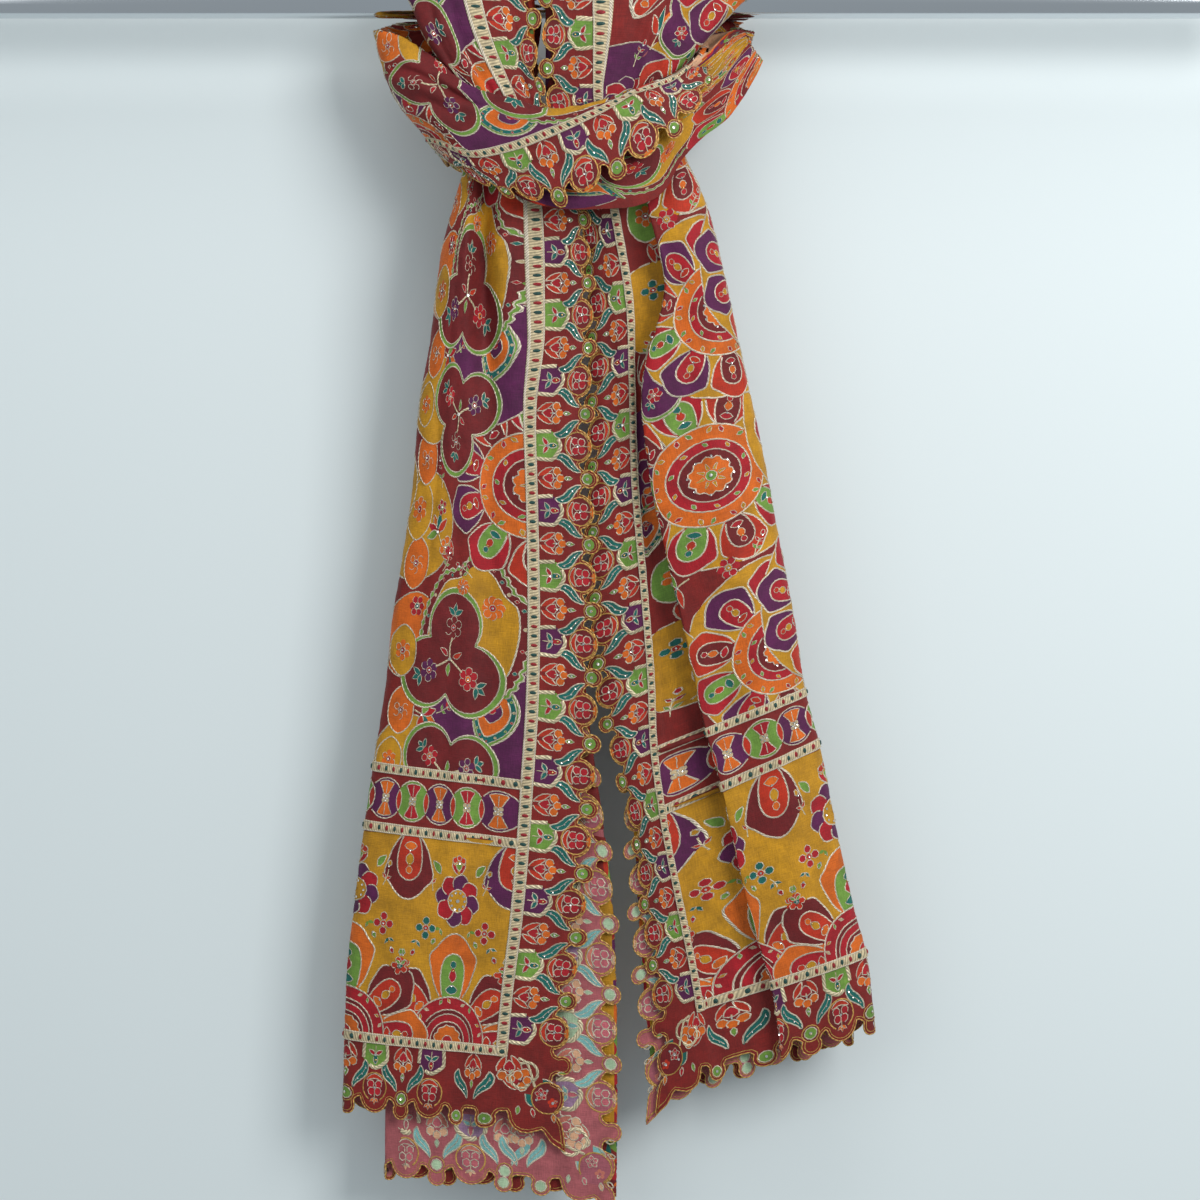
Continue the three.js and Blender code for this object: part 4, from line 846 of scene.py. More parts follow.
def mandala(pen, R, n=10, tips=(("purple", "crimson", "mustard", "flame"), FLAME_TIP, CRIMSON_TIP)):
    """Great flower: tongues round a ringed wheel."""
    for i in range(n):
        tongue(pen.move(0, 0, 360 * (i + 0.5) / n).move(R * 0.47, 0), R * 0.53, R * 0.49, *tips[i % len(tips)])
    pen.disc("orange", R * 0.52, w=1.2, n=36)
    for i in range(n * 2):
        q = pen.move(0, 0, 180 * i / n).move(R * 0.44, 0, 35 if i % 2 else -35)
        q.fill(("crimson", "mustard", "green")[i % 3], leaf(R * 0.08, R * 0.045), w=0.6)
    pen.disc("crimson", R * 0.37, w=1.1, n=32)
    for i in range(n):
        q = pen.move(0, 0, 360 * i / n).move(R * 0.31, 0, 60)
        q.fill(("green", "mustard")[i % 2], leaf(R * 0.07, R * 0.04), w=0.6)
    pen.disc("maroon", R * 0.27, w=1.0, n=26)
    pen.fill("orange", bumps(circle(R * 0.17, 24), R * 0.1, R * 0.035), w=0.9)
    for i in range(8):
        pen.move(0, 0, 45 * i).fill("mustard", [(R * .07, -R * .02), (R * .15, 0), (R * .07, R * .02)], w=0.5)
        pen.move(0, 0, 45 * i + 22).spot(R * 0.2, 0, 1.0)
    pen.disc("green", R * 0.055, w=0.7)
    pen.spot(0, 0, 1.5)


BLOB = [(-30, 0), (-20, 26), (6, 34), (28, 18), (30, -10), (12, -32), (-18, -26)]
MOTIFS = {
    "cloud": lambda p, k, *a: cloud(p, 84 * k, 96 * k, *a),
    "medallion": lambda p, k, *a: medallion(p, 25 * k, *a),
    "mandala": lambda p, k, *a: mandala(p, 80 * k, *a),
    "paisley": lambda p, k, *a: paisley(p, 44 * k, *a),
    "tongue": lambda p, k, *a: tongue(p, 52 * k, 36 * k, *a),
    "rosette": lambda p, k, *a: rosette(p, 17 * k, *a),
    "oval": lambda p, k, *a: oval(p, 34 * k, 24 * k, *a),
    "floret": lambda p, k, *a: floret(p, 6 * k, *a),
    "bloom": lambda p, k, *a: bloom(p, k, *a),
    "twig": lambda p, k, *a: twig(p, length=15 * k),
    "spray": lambda p, k, *a: spray(p, 13 * k),
    "blob": lambda p, k, *a: p.fill(a[0], curve([(x * k, y * k) for x, y in BLOB], 4), w=1.1),
}
CELL = 296  # height of the repeat
# motif, across, above the repeat's foot, turn, size, what else its function takes
FIELD_A = [
    ("blob", 92, 40, 0, 1.7, ("purple",)),
    ("blob", 164, 6, 40, 1.1, ("mustard",)),
    ("blob", 180, 200, 90, 1.5, ("mustard",)),
    ("blob", 170, 108, 10, 1.1, ("orange",)),
    ("spray", 152, 44, 200, 1.3, ()),
    ("twig", 136, 46, 150, 1.2, ()),
    ("paisley", 84, 22, 96, 1.5, ()),
    ("medallion", 122, -4, 190, 1.3, ()),
    ("oval", 176, 46, 90, 1.2, ("orange",)),
    ("oval", 182, 4, 90, 1.1, ()),
    ("cloud", 106, 120, 8, 1.22, ()),
    ("medallion", 124, 92, 6, 1.5, ()),
    ("floret", 82, 136, 0, 1.7, ("orange", 8, "crimson")),
    ("floret", 112, 152, 0, 1.2, ("orange", 8, "crimson")),
    ("oval", 180, 96, 90, 1.3, ("mustard",)),
    ("floret", 168, 134, 0, 1.5, ("crimson", 6, "teal")),
    ("mandala", 50, 236, 0, 1.04, ()),
    ("bloom", 128, 176, 40, 1.0, ()),
    ("twig", 102, 160, 30, 1.2, ()),
    ("twig", 140, 164, 120, 1.2, ()),
    ("spray", 150, 196, 60, 1.3, ()),
    ("oval", 176, 170, 90, 1.3, ("orange",)),
    ("oval", 180, 214, 90, 1.5, ()),
    ("oval", 174, 256, 90, 1.3, ("orange",)),
    ("twig", 148, 232, 80, 1.5, ()),
    ("floret", 146, 216, 0, 1.2, ("crimson", 5, "green")),
    ("bloom", 138, 262, 100, 1.0, ()),
    ("twig", 122, 286, 60, 1.2, ()),
    ("floret", 150, 284, 0, 1.1, ("purple", 6, "orange")),
]
FIELD_B = [
    ("blob", 178, 44, 10, 2.35, ("mustard",)),
    ("blob", 152, 206, 60, 2.6, ("mustard",)),
    ("blob", 78, 232, 70, 1.4, ("purple",)),
    ("blob", 82, 60, 90, 1.2, ("mustard",)),
    ("mandala", 180, 44, 0, 0.96, ()),
    ("mandala", 150, 206, 14, 1.0, (10, (CRIMSON_TIP, FLAME_TIP))),
    ("twig", 70, 20, 80, 1.2, ()),
    ("spray", 88, 36, 40, 1.4, ()),
    ("floret", 74, 76, 0, 1.4, ("teal", 4, "flame")),
    ("bloom", 80, 96, 70, 1.1, ()),
    ("spray", 112, 124, 200, 1.4, ()),
    ("twig", 100, 112, 100, 1.2, ()),
    ("oval", 78, 134, 80, 1.2, ("green",)),
    ("floret", 150, 126, 0, 1.5, ("crimson", 6, "mustard")),
    ("twig", 170, 128, 60, 1.2, ()),
    ("paisley", 60, 158, 80, 1.1, ()),
    ("rosette", 76, 232, 0, 1.1, ()),
    ("twig", 78, 258, 70, 1.2, ()),
    ("bloom", 64, 196, 60, 0.9, ()),
    ("tongue", 66, 296, 60, 0.9, ("maroon", "flame", "mustard", "orange")),
    ("spray", 100, 284, 60, 1.6, ()),
    ("medallion", 130, 298, 30, 0.95, ("purple", "green")),
    ("oval", 176, 296, 60, 1.2, ("green",)),
]


def field_art(pen, table, y0, y1, lo, hi):
    """The repeat over the field, and its mirror image in the far half of the cloth."""
    k = 0
    while y0 + CELL * k < y1:
        field(pen, table, lo, hi, y0 + CELL * k, y1)
        far = [(n, MIRROR - x, y + 31, 180 - d, s, a) for n, x, y, d, s, a in table if x < 190]
        field(pen, far, lo, hi, y0 + CELL * k, y1)
        k += 1


# ------------------------------------------------------------ outlines in the flat
def lobe_small(at):
    """(along, in from the edge) round a small lobe on a narrow neck."""
    ring = [(at + 7.2 * math.sin(a), 7.4 - 7.2 * math.cos(a)) for a in np.linspace(-2.2, 2.2, 11)]
    return [(at - 8.6, 14.6), (at - 6.7, 12.2)] + ring + [(at + 6.7, 12.2), (at + 8.6, 14.6)]


def lobe_big(at):
    """(along, in from the edge) round a broad lobe."""
    return [(at + 13.6 * math.sin(a), 17.4 - 13.6 * math.cos(a)) for a in np.linspace(-1.47, 1.47, 13)]


def scallop_line(lobes, lo, hi):
    """(along, in from the edge) from lo to hi; lobes are (middle, kind)."""
    out = [(lo, NOTCH)]
    for at, kind in lobes:
        if at - 15 > lo - 1 and at + 15 < hi + 1:
            out += lobe_small(at) if kind else lobe_big(at)
    out.append((hi, NOTCH))
    clean = [out[0]]
    for p in out[1:]:
        if p[0] > clean[-1][0] - 3 and math.dist(p, clean[-1]) > 0.4:
            clean.append(p)
    return clean


def side_lobes():
    """Lobes of the long edge, as (middle, True for a small one)."""
    return [(FLOWER_0 + PITCH / 2 * i, i % 2 == 0) for i in range(60)]


def end_lobes():
    """Lobes of the end, as (middle, True for a small one), the same from both corners."""
    half = [(61, True), (90, True)]
    for i in range(6):
        half.append((HEM_0 + HEM_PITCH * i, False))
        if i < 5:
            half.append((HEM_0 + HEM_PITCH * (i + 0.5), True))
    return half + [(WIDTH - a, k) for a, k in half[:-1][::-1]]


# (t, s) round the corner, from the long edge to the end
CORNER = [
    (9.4, 38.2), (6.2, 33.5), (5.4, 28), (6.4, 22.4), (9.2, 17.4), (12.6, 14.8), (8.8, 12.2), (6.4, 7.6), (5.4, 2.4), (4.4, -2.6),
    (3.0, -6.8), (8, -5.2), (13, -3.8), (17, -1.2), (20.6, 3.2), (25, 1.4), (30.2, -0.4), (36, -0.2), (41, 2.2), (44.6, 7.6),
]


def resample(p, step):
    """The same line with points about step apart."""
    p = np.asarray(p, float)
    p = p[np.concatenate([[True], np.linalg.norm(np.diff(p, axis=0), axis=1) > 1e-6])]
    at = lengths(p)
    n = max(1, int(round(at[-1] / step)))
    u = np.linspace(0, at[-1], n + 1)
    return np.stack([np.interp(u, at, p[:, 0]), np.interp(u, at, p[:, 1])], 1)


# ------------------------------------------------------------ meshes
def new_mesh(name, verts, faces, mat, normals=None, colours=None, uv=None, smooth_faces=True):
    """verts in mm; faces an (n, k) array of one k, or a list of such arrays; a colour for each face."""
    groups = faces if isinstance(faces, list) else [faces]
    loops = np.concatenate([g.ravel() for g in groups]).astype(np.int32)
    counts = np.concatenate([np.full(len(g), g.shape[1], np.int32) for g in groups])
    me = bpy.data.meshes.new(name)
    me.vertices.add(len(verts))
    me.vertices.foreach_set("co", (np.asarray(verts) * 0.001).astype(np.float32).ravel())
    me.loops.add(len(loops))
    me.loops.foreach_set("vertex_index", loops)
    me.polygons.add(len(counts))
    me.polygons.foreach_set("loop_start", (np.cumsum(counts) - counts).astype(np.int32))
    me.update(calc_edges=True)
    me.validate()
    if smooth_faces:
        me.polygons.foreach_set("use_smooth", np.ones(len(me.polygons), bool))
    if colours is not None:
        rgba = np.ones((len(loops), 4), np.float32)
        rgba[:, :3] = np.repeat(colours, counts, axis=0)
        me.color_attributes.new("Tint", "FLOAT_COLOR", "CORNER").data.foreach_set("color", rgba.ravel())
    if uv is not None:
        me.uv_layers.new(name="Run").uv.foreach_set("vector", np.asarray(uv, np.float32)[loops].ravel())
    if normals is not None:
        me.normals_split_custom_set_from_vertices(np.asarray(normals, np.float32).tolist())
    ob = bpy.data.objects.new(name, me)
    bpy.context.scene.collection.objects.link(ob)
    me.materials.append(mat)
    return ob


def flat_mesh(bands, fills, cols, rows, rim=()):
    """Triangles over the bands of an outline, each with the index of the topmost fill over it, or -1."""
    points, tris, top = [], [], []
    base = 0
    cuts = sorted({float(f(q[:, 1])) for q in bands for f in (np.min, np.max)})[1:-1]
    for outline in bands:
        lo, hi = np.min(outline, 0), np.max(outline, 0)
        verts, faces, ids = [], [], [-1]

        def add(p):
            a = len(verts)
            verts.extend(Vector((float(x), float(y))) for x, y in p)
            faces.append(list(range(a, a + len(p))))

        add(outline)
        for c, p in fills:
            if np.any(p.max(0) < lo) or np.any(p.min(0) > hi):
                continue
            q = np.clip(p, lo - 4, hi + 4) if len(p) == 4 else p
            q = q[np.linalg.norm(q - np.roll(q, 1, 0), axis=1) > 1e-3]
            turn = float(np.sum(q[:, 0] * np.roll(q[:, 1], -1) - q[:, 1] * np.roll(q[:, 0], -1)))
            if len(q) > 2 and abs(turn) > 0.4:
                add(q if turn > 0 else q[::-1])
                ids.append(c)
        for s in list(rows) + list(cuts):
            if lo[1] - 0.01 < s < hi[1] + 0.01:
                verts.extend(Vector((float(t), float(s))) for t in cols)
        verts.extend(Vector((float(t), float(s))) for t, s in rim if lo[1] - 0.01 < s < hi[1] + 0.01)
        v, _, f, _, _, of = delaunay_2d_cdt(verts, [], faces, 1, 1e-3, True)
        points.append(np.array([(q[0], q[1]) for q in v]))
        for tri, o in zip(f, of):
            if 0 in o and len(tri) == 3:
                tris.append((tri[0] + base, tri[1] + base, tri[2] + base))
                top.append(ids[max(o)])
        base += len(v)
    points, tris, top = np.concatenate(points), np.array(tris), np.array(top)
    keys = np.round(points / 0.004).astype(np.int64)
    _, first, same = np.unique(keys, axis=0, return_index=True, return_inverse=True)
    points, tris = points[first], same.ravel()[tris]
    ab, ac = points[tris[:, 1]] - points[tris[:, 0]], points[tris[:, 2]] - points[tris[:, 0]]
    area = ab[:, 0] * ac[:, 1] - ac[:, 0] * ab[:, 1]
    ok = np.abs(area) > 1e-4
    tris, top, area = tris[ok], top[ok], area[ok]  # without slivers
    tris[area < 0] = tris[area < 0][:, ::-1]
    used, tris = np.unique(tris, return_inverse=True)
    return points[used], tris.reshape(-1, 3), top


def rim_edges(tris):
    """Edges that only one triangle has, in that triangle's own order."""
    e = {}
    for a, b, c in tris.tolist():
        for k in ((a, b), (b, c), (c, a)):
            e[k] = 1
    return [k for k in e if (k[1], k[0]) not in e]


def skin(name, cloth, bands, art, cols, rows, both=None):
    """Two faces of the cloth, coloured by the drawing, closed along its edge.

    both(t, s) tells where the inner face has full colours; without it the inner face has the borders only.
    """
    fills = art["fills"]

    def small_inside(p):
        return p[:, 0].min() > 392 and p[:, 0].max() < 640 and np.ptp(p, axis=0).max() < 7

    def border(p):
        return p[:, 0].min() > 690 or (p[:, 0].min() > 590 and p[:, 1].max() < HEM_BRAID + 1)

    # small motifs are left out where the right side lies inside the fold, and the inner face has those that show
    outer_fills = [q for q in fills if not small_inside(q[1])]
    inner_fills = [q for q in fills if (q[1][:, 0].max() > 84 if both is not None else border(q[1]))]
    fa, ta, ca = flat_mesh(bands, outer_fills, cols, rows)
    rim = rim_edges(ta)
    fb, tb, cb = flat_mesh(bands, inner_fills, cols, rows if both is not None else rows[::2], fa[[a for a, _ in rim]])
    mb = fb[tb].mean(1)
    ca, cb = (np.where(c < 0, NAMES.index("red"), c) for c in (ca, cb))
    tree = KDTree(len(fb))
    for i, q in enumerate(fb):
        tree.insert((q[0], q[1], 0), i)
    tree.balance()
    n = len(fa)
    if cloth.sign < 0:
        ta, rim = ta[:, ::-1], [(b, a) for a, b in rim]
    else:
        tb = tb[:, ::-1]
    Pa, Na = cloth.at(fa[:, 0], fa[:, 1])
    Pb, Nb = cloth.at(fb[:, 0], fb[:, 1])
    # walls along the cut edge join the two faces
    walls = []
    for a, b in rim:
        (_, i, di), (_, j, dj) = (tree.find((fa[k, 0], fa[k, 1], 0)) for k in (a, b))
        if i != j and max(di, dj) < 0.05:
            walls.append((b, a, i + n, j + n))
    walls = np.array(walls)
    back = PALE_RGB[cb]
    if both is not None:
        back = np.where(both(mb[:, 0], mb[:, 1])[:, None], FACE_RGB[cb], back)
    colours = np.concatenate([FACE_RGB[ca], back, np.tile(srgb("#8a6a3c"), (len(walls), 1))])
    points, normals = np.concatenate([Pa + Na * SKIN, Pb - Nb * SKIN]), np.concatenate([Na, -Nb])
    uv = np.concatenate([fa, fb]) * 0.01
    ob = new_mesh(name, points, [ta, tb + n, walls], CLOTH, normals, colours, uv)
    print(name, "skin", len(ta) + len(tb) + len(walls) * 2, "triangles")
    return ob


def ribbon_rows(cloth, path, offsets, heights, side=1):
    """Points across a path in the flat: offsets to its left, heights off the cloth."""
    left = lefts(path)
    P = []
    for o, h in zip(offsets, heights):
        q = path + left * o
        P.append(cloth.at(q[:, 0], q[:, 1], side * (SKIN + h))[0])
    return np.stack(P, 1)


class Bundle:
    """Many strips or discs collected into one mesh."""

    def __init__(self):
        self.v, self.f, self.c, self.uv, self.n = [], [], [], [], 0

    def strip(self, P, colour, run):
        """A strip of quads through the rows P; run is the length along it."""
        m, k = P.shape[:2]
        self.v.append(P.reshape(-1, 3))
        self.uv.append(np.stack([np.repeat(run, k), np.tile(np.linspace(0, 1, k), m)], 1))
        i = np.arange(m - 1)[:, None] * k + np.arange(k - 1)[None, :] + self.n
        q = np.stack([i, i + 1, i + k + 1, i + k], -1).reshape(-1, 4)
        self.f.append(q)
        self.c.append(np.tile(colour, (len(q), 1)))
        self.n += m * k

    def mesh(self, name, mat):
        if not self.v:
            return None
        v, f, c, uv = (np.concatenate(q) for q in (self.v, self.f, self.c, self.uv))
        return new_mesh(name, v, f, mat, None, c, uv)


def in_polygon(poly, x, y):
    """Which of the points lie inside a closed polygon."""
    hit = np.zeros(len(x), bool)
    for (x0, y0), (x1, y1) in zip(poly, np.roll(poly, -1, 0)):
        hit ^= ((y0 > y) != (y1 > y)) & (x < (x1 - x0) * (y - y0) / (y1 - y0 + 1e-12) + x0)
    return hit


class Cover:
    """Tells which points of a line drawn at some moment lie under fills drawn after it."""

    def __init__(self, fills):
        self.fills = [p for _, p in fills]
        self.lo = np.array([p.min(0) for p in self.fills])
        self.hi = np.array([p.max(0) for p in self.fills])

    def hidden(self, pts, order):
        out = np.zeros(len(pts), bool)
        lo, hi = pts.min(0), pts.max(0)
        near = np.nonzero(np.all((self.lo[order:] < hi) & (self.hi[order:] > lo), axis=1))[0] + order
        for k in near:
            out |= in_polygon(self.fills[k], pts[:, 0], pts[:, 1])
        return out


def threads(name, cloth, art, inside, side=1, step=2.9, wide=1.0):
    """Couched threads along the drawn lines: low ridges that follow the cloth."""
    out = Bundle()
    cover = Cover(art["fills"])
    rng = random.Random(5)
    for kind, w, pts, closed, order in art["lines"]:
        w = w * wide
        p = resample(pts, step)
        p = p + np.array([[rng.uniform(-0.14, 0.14), rng.uniform(-0.14, 0.14)] for _ in p])
        if closed:
            p[-1] = p[0]
        ok = inside(p[:, 0], p[:, 1])
        if not ok.any():
            continue
        ok &= ~cover.hidden(p, order)
        run = lengths(p)
        i = 0
        while i < len(p):
            if not ok[i]:
                i += 1
                continue
            j = i
            while j < len(p) and ok[j]:
                j += 1
            if j - i > 2:
                part = p[i:j]
                c = THREADS[kind] * rng.uniform(0.82, 1.15)
                hw = w / 2
                out.strip(ribbon_rows(cloth, part, (hw, 0, -hw), (-0.12, w * 0.42, -0.12), side), c, run[i:j])
            i = j
    return out.mesh(name, THREAD)


def discs(name, cloth, art, inside):
    """Sequins: small tilted cups. Beads: small domes."""
    rng = np.random.default_rng(3)
    cover = Cover(art["fills"])

    def shows(x, y, order):
        return inside(np.array([x]), np.array([y]))[0] and not cover.hidden(np.array([(x, y)]), order)[0]

    s = [(x, y, r, k) for k, x, y, r, order in art["spots"] if shows(x, y, order)]
    if not s:
        return None
    x, y, r = (np.array([q[i] for q in s]) for i in range(3))
    bead = np.array([q[3] == "bead" for q in s])
    n = 8
    P0, N = cloth.at(x, y, SKIN + 0.55)
    A = unit(cloth.at(x + 0.8, y)[0] - cloth.at(x - 0.8, y)[0])
    tilt = unit(N + rng.normal(0, 0.1, N.shape))
    A = unit(A - tilt * np.sum(A * tilt, 1, keepdims=True))
    B = np.cross(tilt, A)
    lip = tilt * np.where(bead, -0.3, 0.12)[:, None]
    turns = np.arange(n) * 2 * math.pi / n
    ring = np.stack([P0 + A * (r * math.cos(a))[:, None] + B * (r * math.sin(a))[:, None] + lip for a in turns], 1)
    top = (P0 + tilt * np.where(bead, r * 0.9, -0.1)[:, None])[:, None]
    V = np.concatenate([ring, top], 1)
    k = np.arange(len(s))[:, None] * (n + 1)
    F = np.stack([k + np.arange(n), k + (np.arange(n) + 1) % n, np.broadcast_to(k + n, (len(s), n))], -1).reshape(-1, 3)
    colours = np.repeat(np.where(bead[:, None], srgb("#c7a267"), srgb("#d9d6d0")), n, axis=0)
    return new_mesh(name, V.reshape(-1, 3), F, SEQUIN, None, colours, None, False)


def braid(name, cloth, path, nodes):
    """Woven braid with raised ovals and a thread along each edge. It replaces the CAD nodes."""
    path = resample(path, 1.9)
    run = lengths(path)
    out = Bundle()
    hw = BRAID_W / 2
    offsets = (hw, hw - 0.3, hw - 1.5, 1.4, 0, -1.4, 1.5 - hw, 0.3 - hw, -hw)
    rows = ribbon_rows(cloth, path, offsets, (-0.3, 0.9, 1.1, 1.35, 1.45, 1.35, 1.1, 0.9, -0.3))
    _, N = cloth.at(path[:, 0], path[:, 1])
    swell = 0.25 * np.cos(run * 2 * math.pi / OVAL_PITCH)
    rows[:, 3:6] += (N * swell[:, None])[:, None]
    out.strip(rows, srgb("#c6b48f"), run)
    for o in (hw - 0.8, 0.8 - hw):
        out.strip(ribbon_rows(cloth, path, (o + 0.55, o, o - 0.55), (0.9, 1.55, 0.9)), THREADS["silver"], run)
    d = unit(np.gradient(path, axis=0))
    for i in range(int(run[-1] / OVAL_PITCH)):
        at = (i + 0.5) * OVAL_PITCH
        c = np.array([np.interp(at, run, path[:, 0]), np.interp(at, run, path[:, 1])])
        e = unit(np.array([np.interp(at, run, d[:, 0]), np.interp(at, run, d[:, 1])]))
        f = np.array([-e[1], e[0]])
        rings = []
        for k, h in ((1.0, 1.15), (0.7, 1.85), (0.05, 2.1)):
            a = np.linspace(0, 2 * math.pi, 11)
            q = c + np.outer(np.cos(a) * 1.55 * k, e) + np.outer(np.sin(a) * 2.2 * k, f)
            rings.append(cloth.at(q[:, 0], q[:, 1], SKIN + h)[0])
        out.strip(np.stack(rings, 1), srgb("#9c1a22") if i % 2 else srgb("#1d4a44"), np.linspace(0, 8, 11))
    ob = out.mesh(name, BRAID)
    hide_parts(*nodes)
    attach(ob, "root")


def edge_cord(name, cloth, outline, r=0.7):
    """Gold cord round the cut edge, seen from both faces."""
    p = resample(outline, 2.6)
    run = lengths(p)
    P0, N = cloth.at(p[:, 0], p[:, 1])
    q = p + lefts(p) * 0.5
    Q = unit(cloth.at(q[:, 0], q[:, 1])[0] - P0)
    a = np.linspace(0, 2 * math.pi, 6)
    P = P0[:, None] + (Q[:, None] * np.cos(a)[None, :, None] + N[:, None] * np.sin(a)[None, :, None] * 1.15) * r
    out = Bundle()
    out.strip(P, THREADS["gold"], run)
    for side in (1, -1):
        out.strip(ribbon_rows(cloth, p, (2.35, 2.0, 1.65), (-0.1, 0.42, -0.1), side), THREADS["gold"], run)
    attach(out.mesh(name, THREAD), "root")


# ------------------------------------------------------------ materials
def material(name, base=None, rough=0.6, metal=0.0, sheen=0.0, build=None):
    """Principled material; build(tree, shader) adds what varies over it."""
    m = bpy.data.materials.new(name)
    m.use_nodes = True
    nt = m.node_tree
    b = nt.nodes["Principled BSDF"]
    b.inputs["Roughness"].default_value = rough
    b.inputs["Metallic"].default_value = metal
    b.inputs["Sheen Weight"].default_value = sheen
    if base is not None:
        b.inputs["Base Color"].default_value = (*base, 1)
    if build:
        build(nt, b)
    return m


def node(nt, kind, **sets):
    """A node with its inputs, or else its own settings, set by name."""
    n = nt.nodes.new(kind)
    for k, v in sets.items():
        if k in n.inputs:
            n.inputs[k].default_value = v
        else:
            setattr(n, k, v)
    return n


def tint(nt, vary, scale):
    """The mesh's own colours, a little uneven."""
    a = node(nt, "ShaderNodeAttribute", attribute_name="Tint")
    co = node(nt, "ShaderNodeTexCoord")
    noise = node(nt, "ShaderNodeTexNoise", Scale=scale, Detail=4.0)
    nt.links.new(co.outputs["Object"], noise.inputs["Vector"])
    ramp = node(nt, "ShaderNodeMapRange")
    for k, v in (("From Min", 0.3), ("From Max", 0.7), ("To Min", 1 - vary), ("To Max", 1 + vary)):
        ramp.inputs[k].default_value = v
    nt.links.new(noise.outputs["Fac"], ramp.inputs["Value"])
    mul = node(nt, "ShaderNodeVectorMath", operation="MULTIPLY")
    nt.links.new(a.outputs["Color"], mul.inputs[0])
    nt.links.new(ramp.outputs["Result"], mul.inputs[1])
    return mul.outputs["Vector"], co


def cloth_nodes(nt, b):
    """Printed silk with slubs and a fine pucker."""
    colour, co = tint(nt, 0.22, 60.0)
    # dupion slubs: fine lines along the weft and the warp
    uv = node(nt, "ShaderNodeUVMap", uv_map="Run")
    slubs = []
    for scale in ((14, 150, 1), (150, 14, 1)):
        m = node(nt, "ShaderNodeMapping")
        m.inputs["Scale"].default_value = scale
        nt.links.new(uv.outputs["UV"], m.inputs["Vector"])
        slubs.append(node(nt, "ShaderNodeTexNoise", Scale=1.0, Detail=3.0))
        nt.links.new(m.outputs["Vector"], slubs[-1].inputs["Vector"])
    add = node(nt, "ShaderNodeMath", operation="ADD")
    for i in (0, 1):
        nt.links.new(slubs[i].outputs["Fac"], add.inputs[i])
    light = node(nt, "ShaderNodeMapRange")
    for k, v in (("From Min", 0.75), ("From Max", 1.3), ("To Min", 0.8), ("To Max", 1.22)):
        light.inputs[k].default_value = v
    nt.links.new(add.outputs[0], light.inputs["Value"])
    mul = node(nt, "ShaderNodeVectorMath", operation="MULTIPLY")
    nt.links.new(colour, mul.inputs[0])
    nt.links.new(light.outputs["Result"], mul.inputs[1])
    nt.links.new(mul.outputs["Vector"], b.inputs["Base Color"])
    pucker = node(nt, "ShaderNodeTexNoise", Scale=190.0, Detail=2.0)
    nt.links.new(co.outputs["Object"], pucker.inputs["Vector"])
    sum2 = node(nt, "ShaderNodeMath", operation="MULTIPLY_ADD")
    sum2.inputs[1].default_value = 1.6
    nt.links.new(pucker.outputs["Fac"], sum2.inputs[0])
    nt.links.new(add.outputs[0], sum2.inputs[2])
    bump = node(nt, "ShaderNodeBump", Strength=0.45, Distance=0.0006)
    nt.links.new(sum2.outputs[0], bump.inputs["Height"])
    nt.links.new(bump.outputs["Normal"], b.inputs["Normal"])
    b.inputs["Sheen Roughness"].default_value = 0.4
    b.inputs["Sheen Tint"].default_value = (1, 0.9, 0.85, 1)
    b.inputs["Specular IOR Level"].default_value = 0.35


def thread_nodes(scale, strength, dist):
    """Twisted thread: slanting bands along the strip, with painted shade in the grooves between the turns and a painted
    highlight on their crowns.
    """
    def build(nt, b):
        colour, co = tint(nt, 0.25, 400.0)
        uv = node(nt, "ShaderNodeUVMap", uv_map="Run")
        m = node(nt, "ShaderNodeMapping")
        m.inputs["Scale"].default_value = (scale, 1.0, 1)
        nt.links.new(uv.outputs["UV"], m.inputs["Vector"])
        wave = node(nt, "ShaderNodeTexWave", Scale=1.0, Distortion=0.6, wave_type="BANDS", bands_direction="DIAGONAL")
        nt.links.new(m.outputs["Vector"], wave.inputs["Vector"])
        # the bands darken the colour in the grooves between the turns (painted shade) and lighten it on their crowns
        # (painted highlight); the bump below follows the same bands
        dark = node(nt, "ShaderNodeMapRange")
        dark.inputs["To Min"].default_value = 0.55
        dark.inputs["To Max"].default_value = 1.15
        nt.links.new(wave.outputs["Fac"], dark.inputs["Value"])
        mul = node(nt, "ShaderNodeVectorMath", operation="MULTIPLY")
        nt.links.new(colour, mul.inputs[0])
        nt.links.new(dark.outputs["Result"], mul.inputs[1])
        nt.links.new(mul.outputs["Vector"], b.inputs["Base Color"])
        bump = node(nt, "ShaderNodeBump", Strength=strength, Distance=dist)
        nt.links.new(wave.outputs["Fac"], bump.inputs["Height"])
        nt.links.new(bump.outputs["Normal"], b.inputs["Normal"])
    return build


def plain_tint(nt, b):
    colour, _ = tint(nt, 0.1, 300.0)
    nt.links.new(colour, b.inputs["Base Color"])


CLOTH = material("Printed silk", rough=0.7, sheen=0.06, build=cloth_nodes)
THREAD = material("Couched metal thread", rough=0.4, metal=0.25, build=thread_nodes(0.16, 0.7, 0.0004))
BRAID = material("Woven braid", rough=0.6, metal=0.12, build=thread_nodes(0.28, 0.6, 0.0003))
SEQUIN = material("Sequins", rough=0.16, metal=0.95, build=plain_tint)
CHROME = material("Rail chrome", (0.62, 0.65, 0.68), 0.12, 1.0)

# ------------------------------------------------------------ the cloth
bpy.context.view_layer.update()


def new_art():
    return {"fills": [], "lines": [], "spots": []}


def columns(folds, lo, hi):
    """Grid lines across the cloth, close together from just before to past each fold."""
    out = set(np.round(np.arange(lo, hi, 5.5), 2))
    for f in folds:
        out = {c for c in out if not f - 4 < c < f + 17}
        out |= {f + d for d in (-2, 0, 2, 4, 6, 8, 10, 12.5, 15)}
    return sorted(c for c in out if lo <= c <= hi)


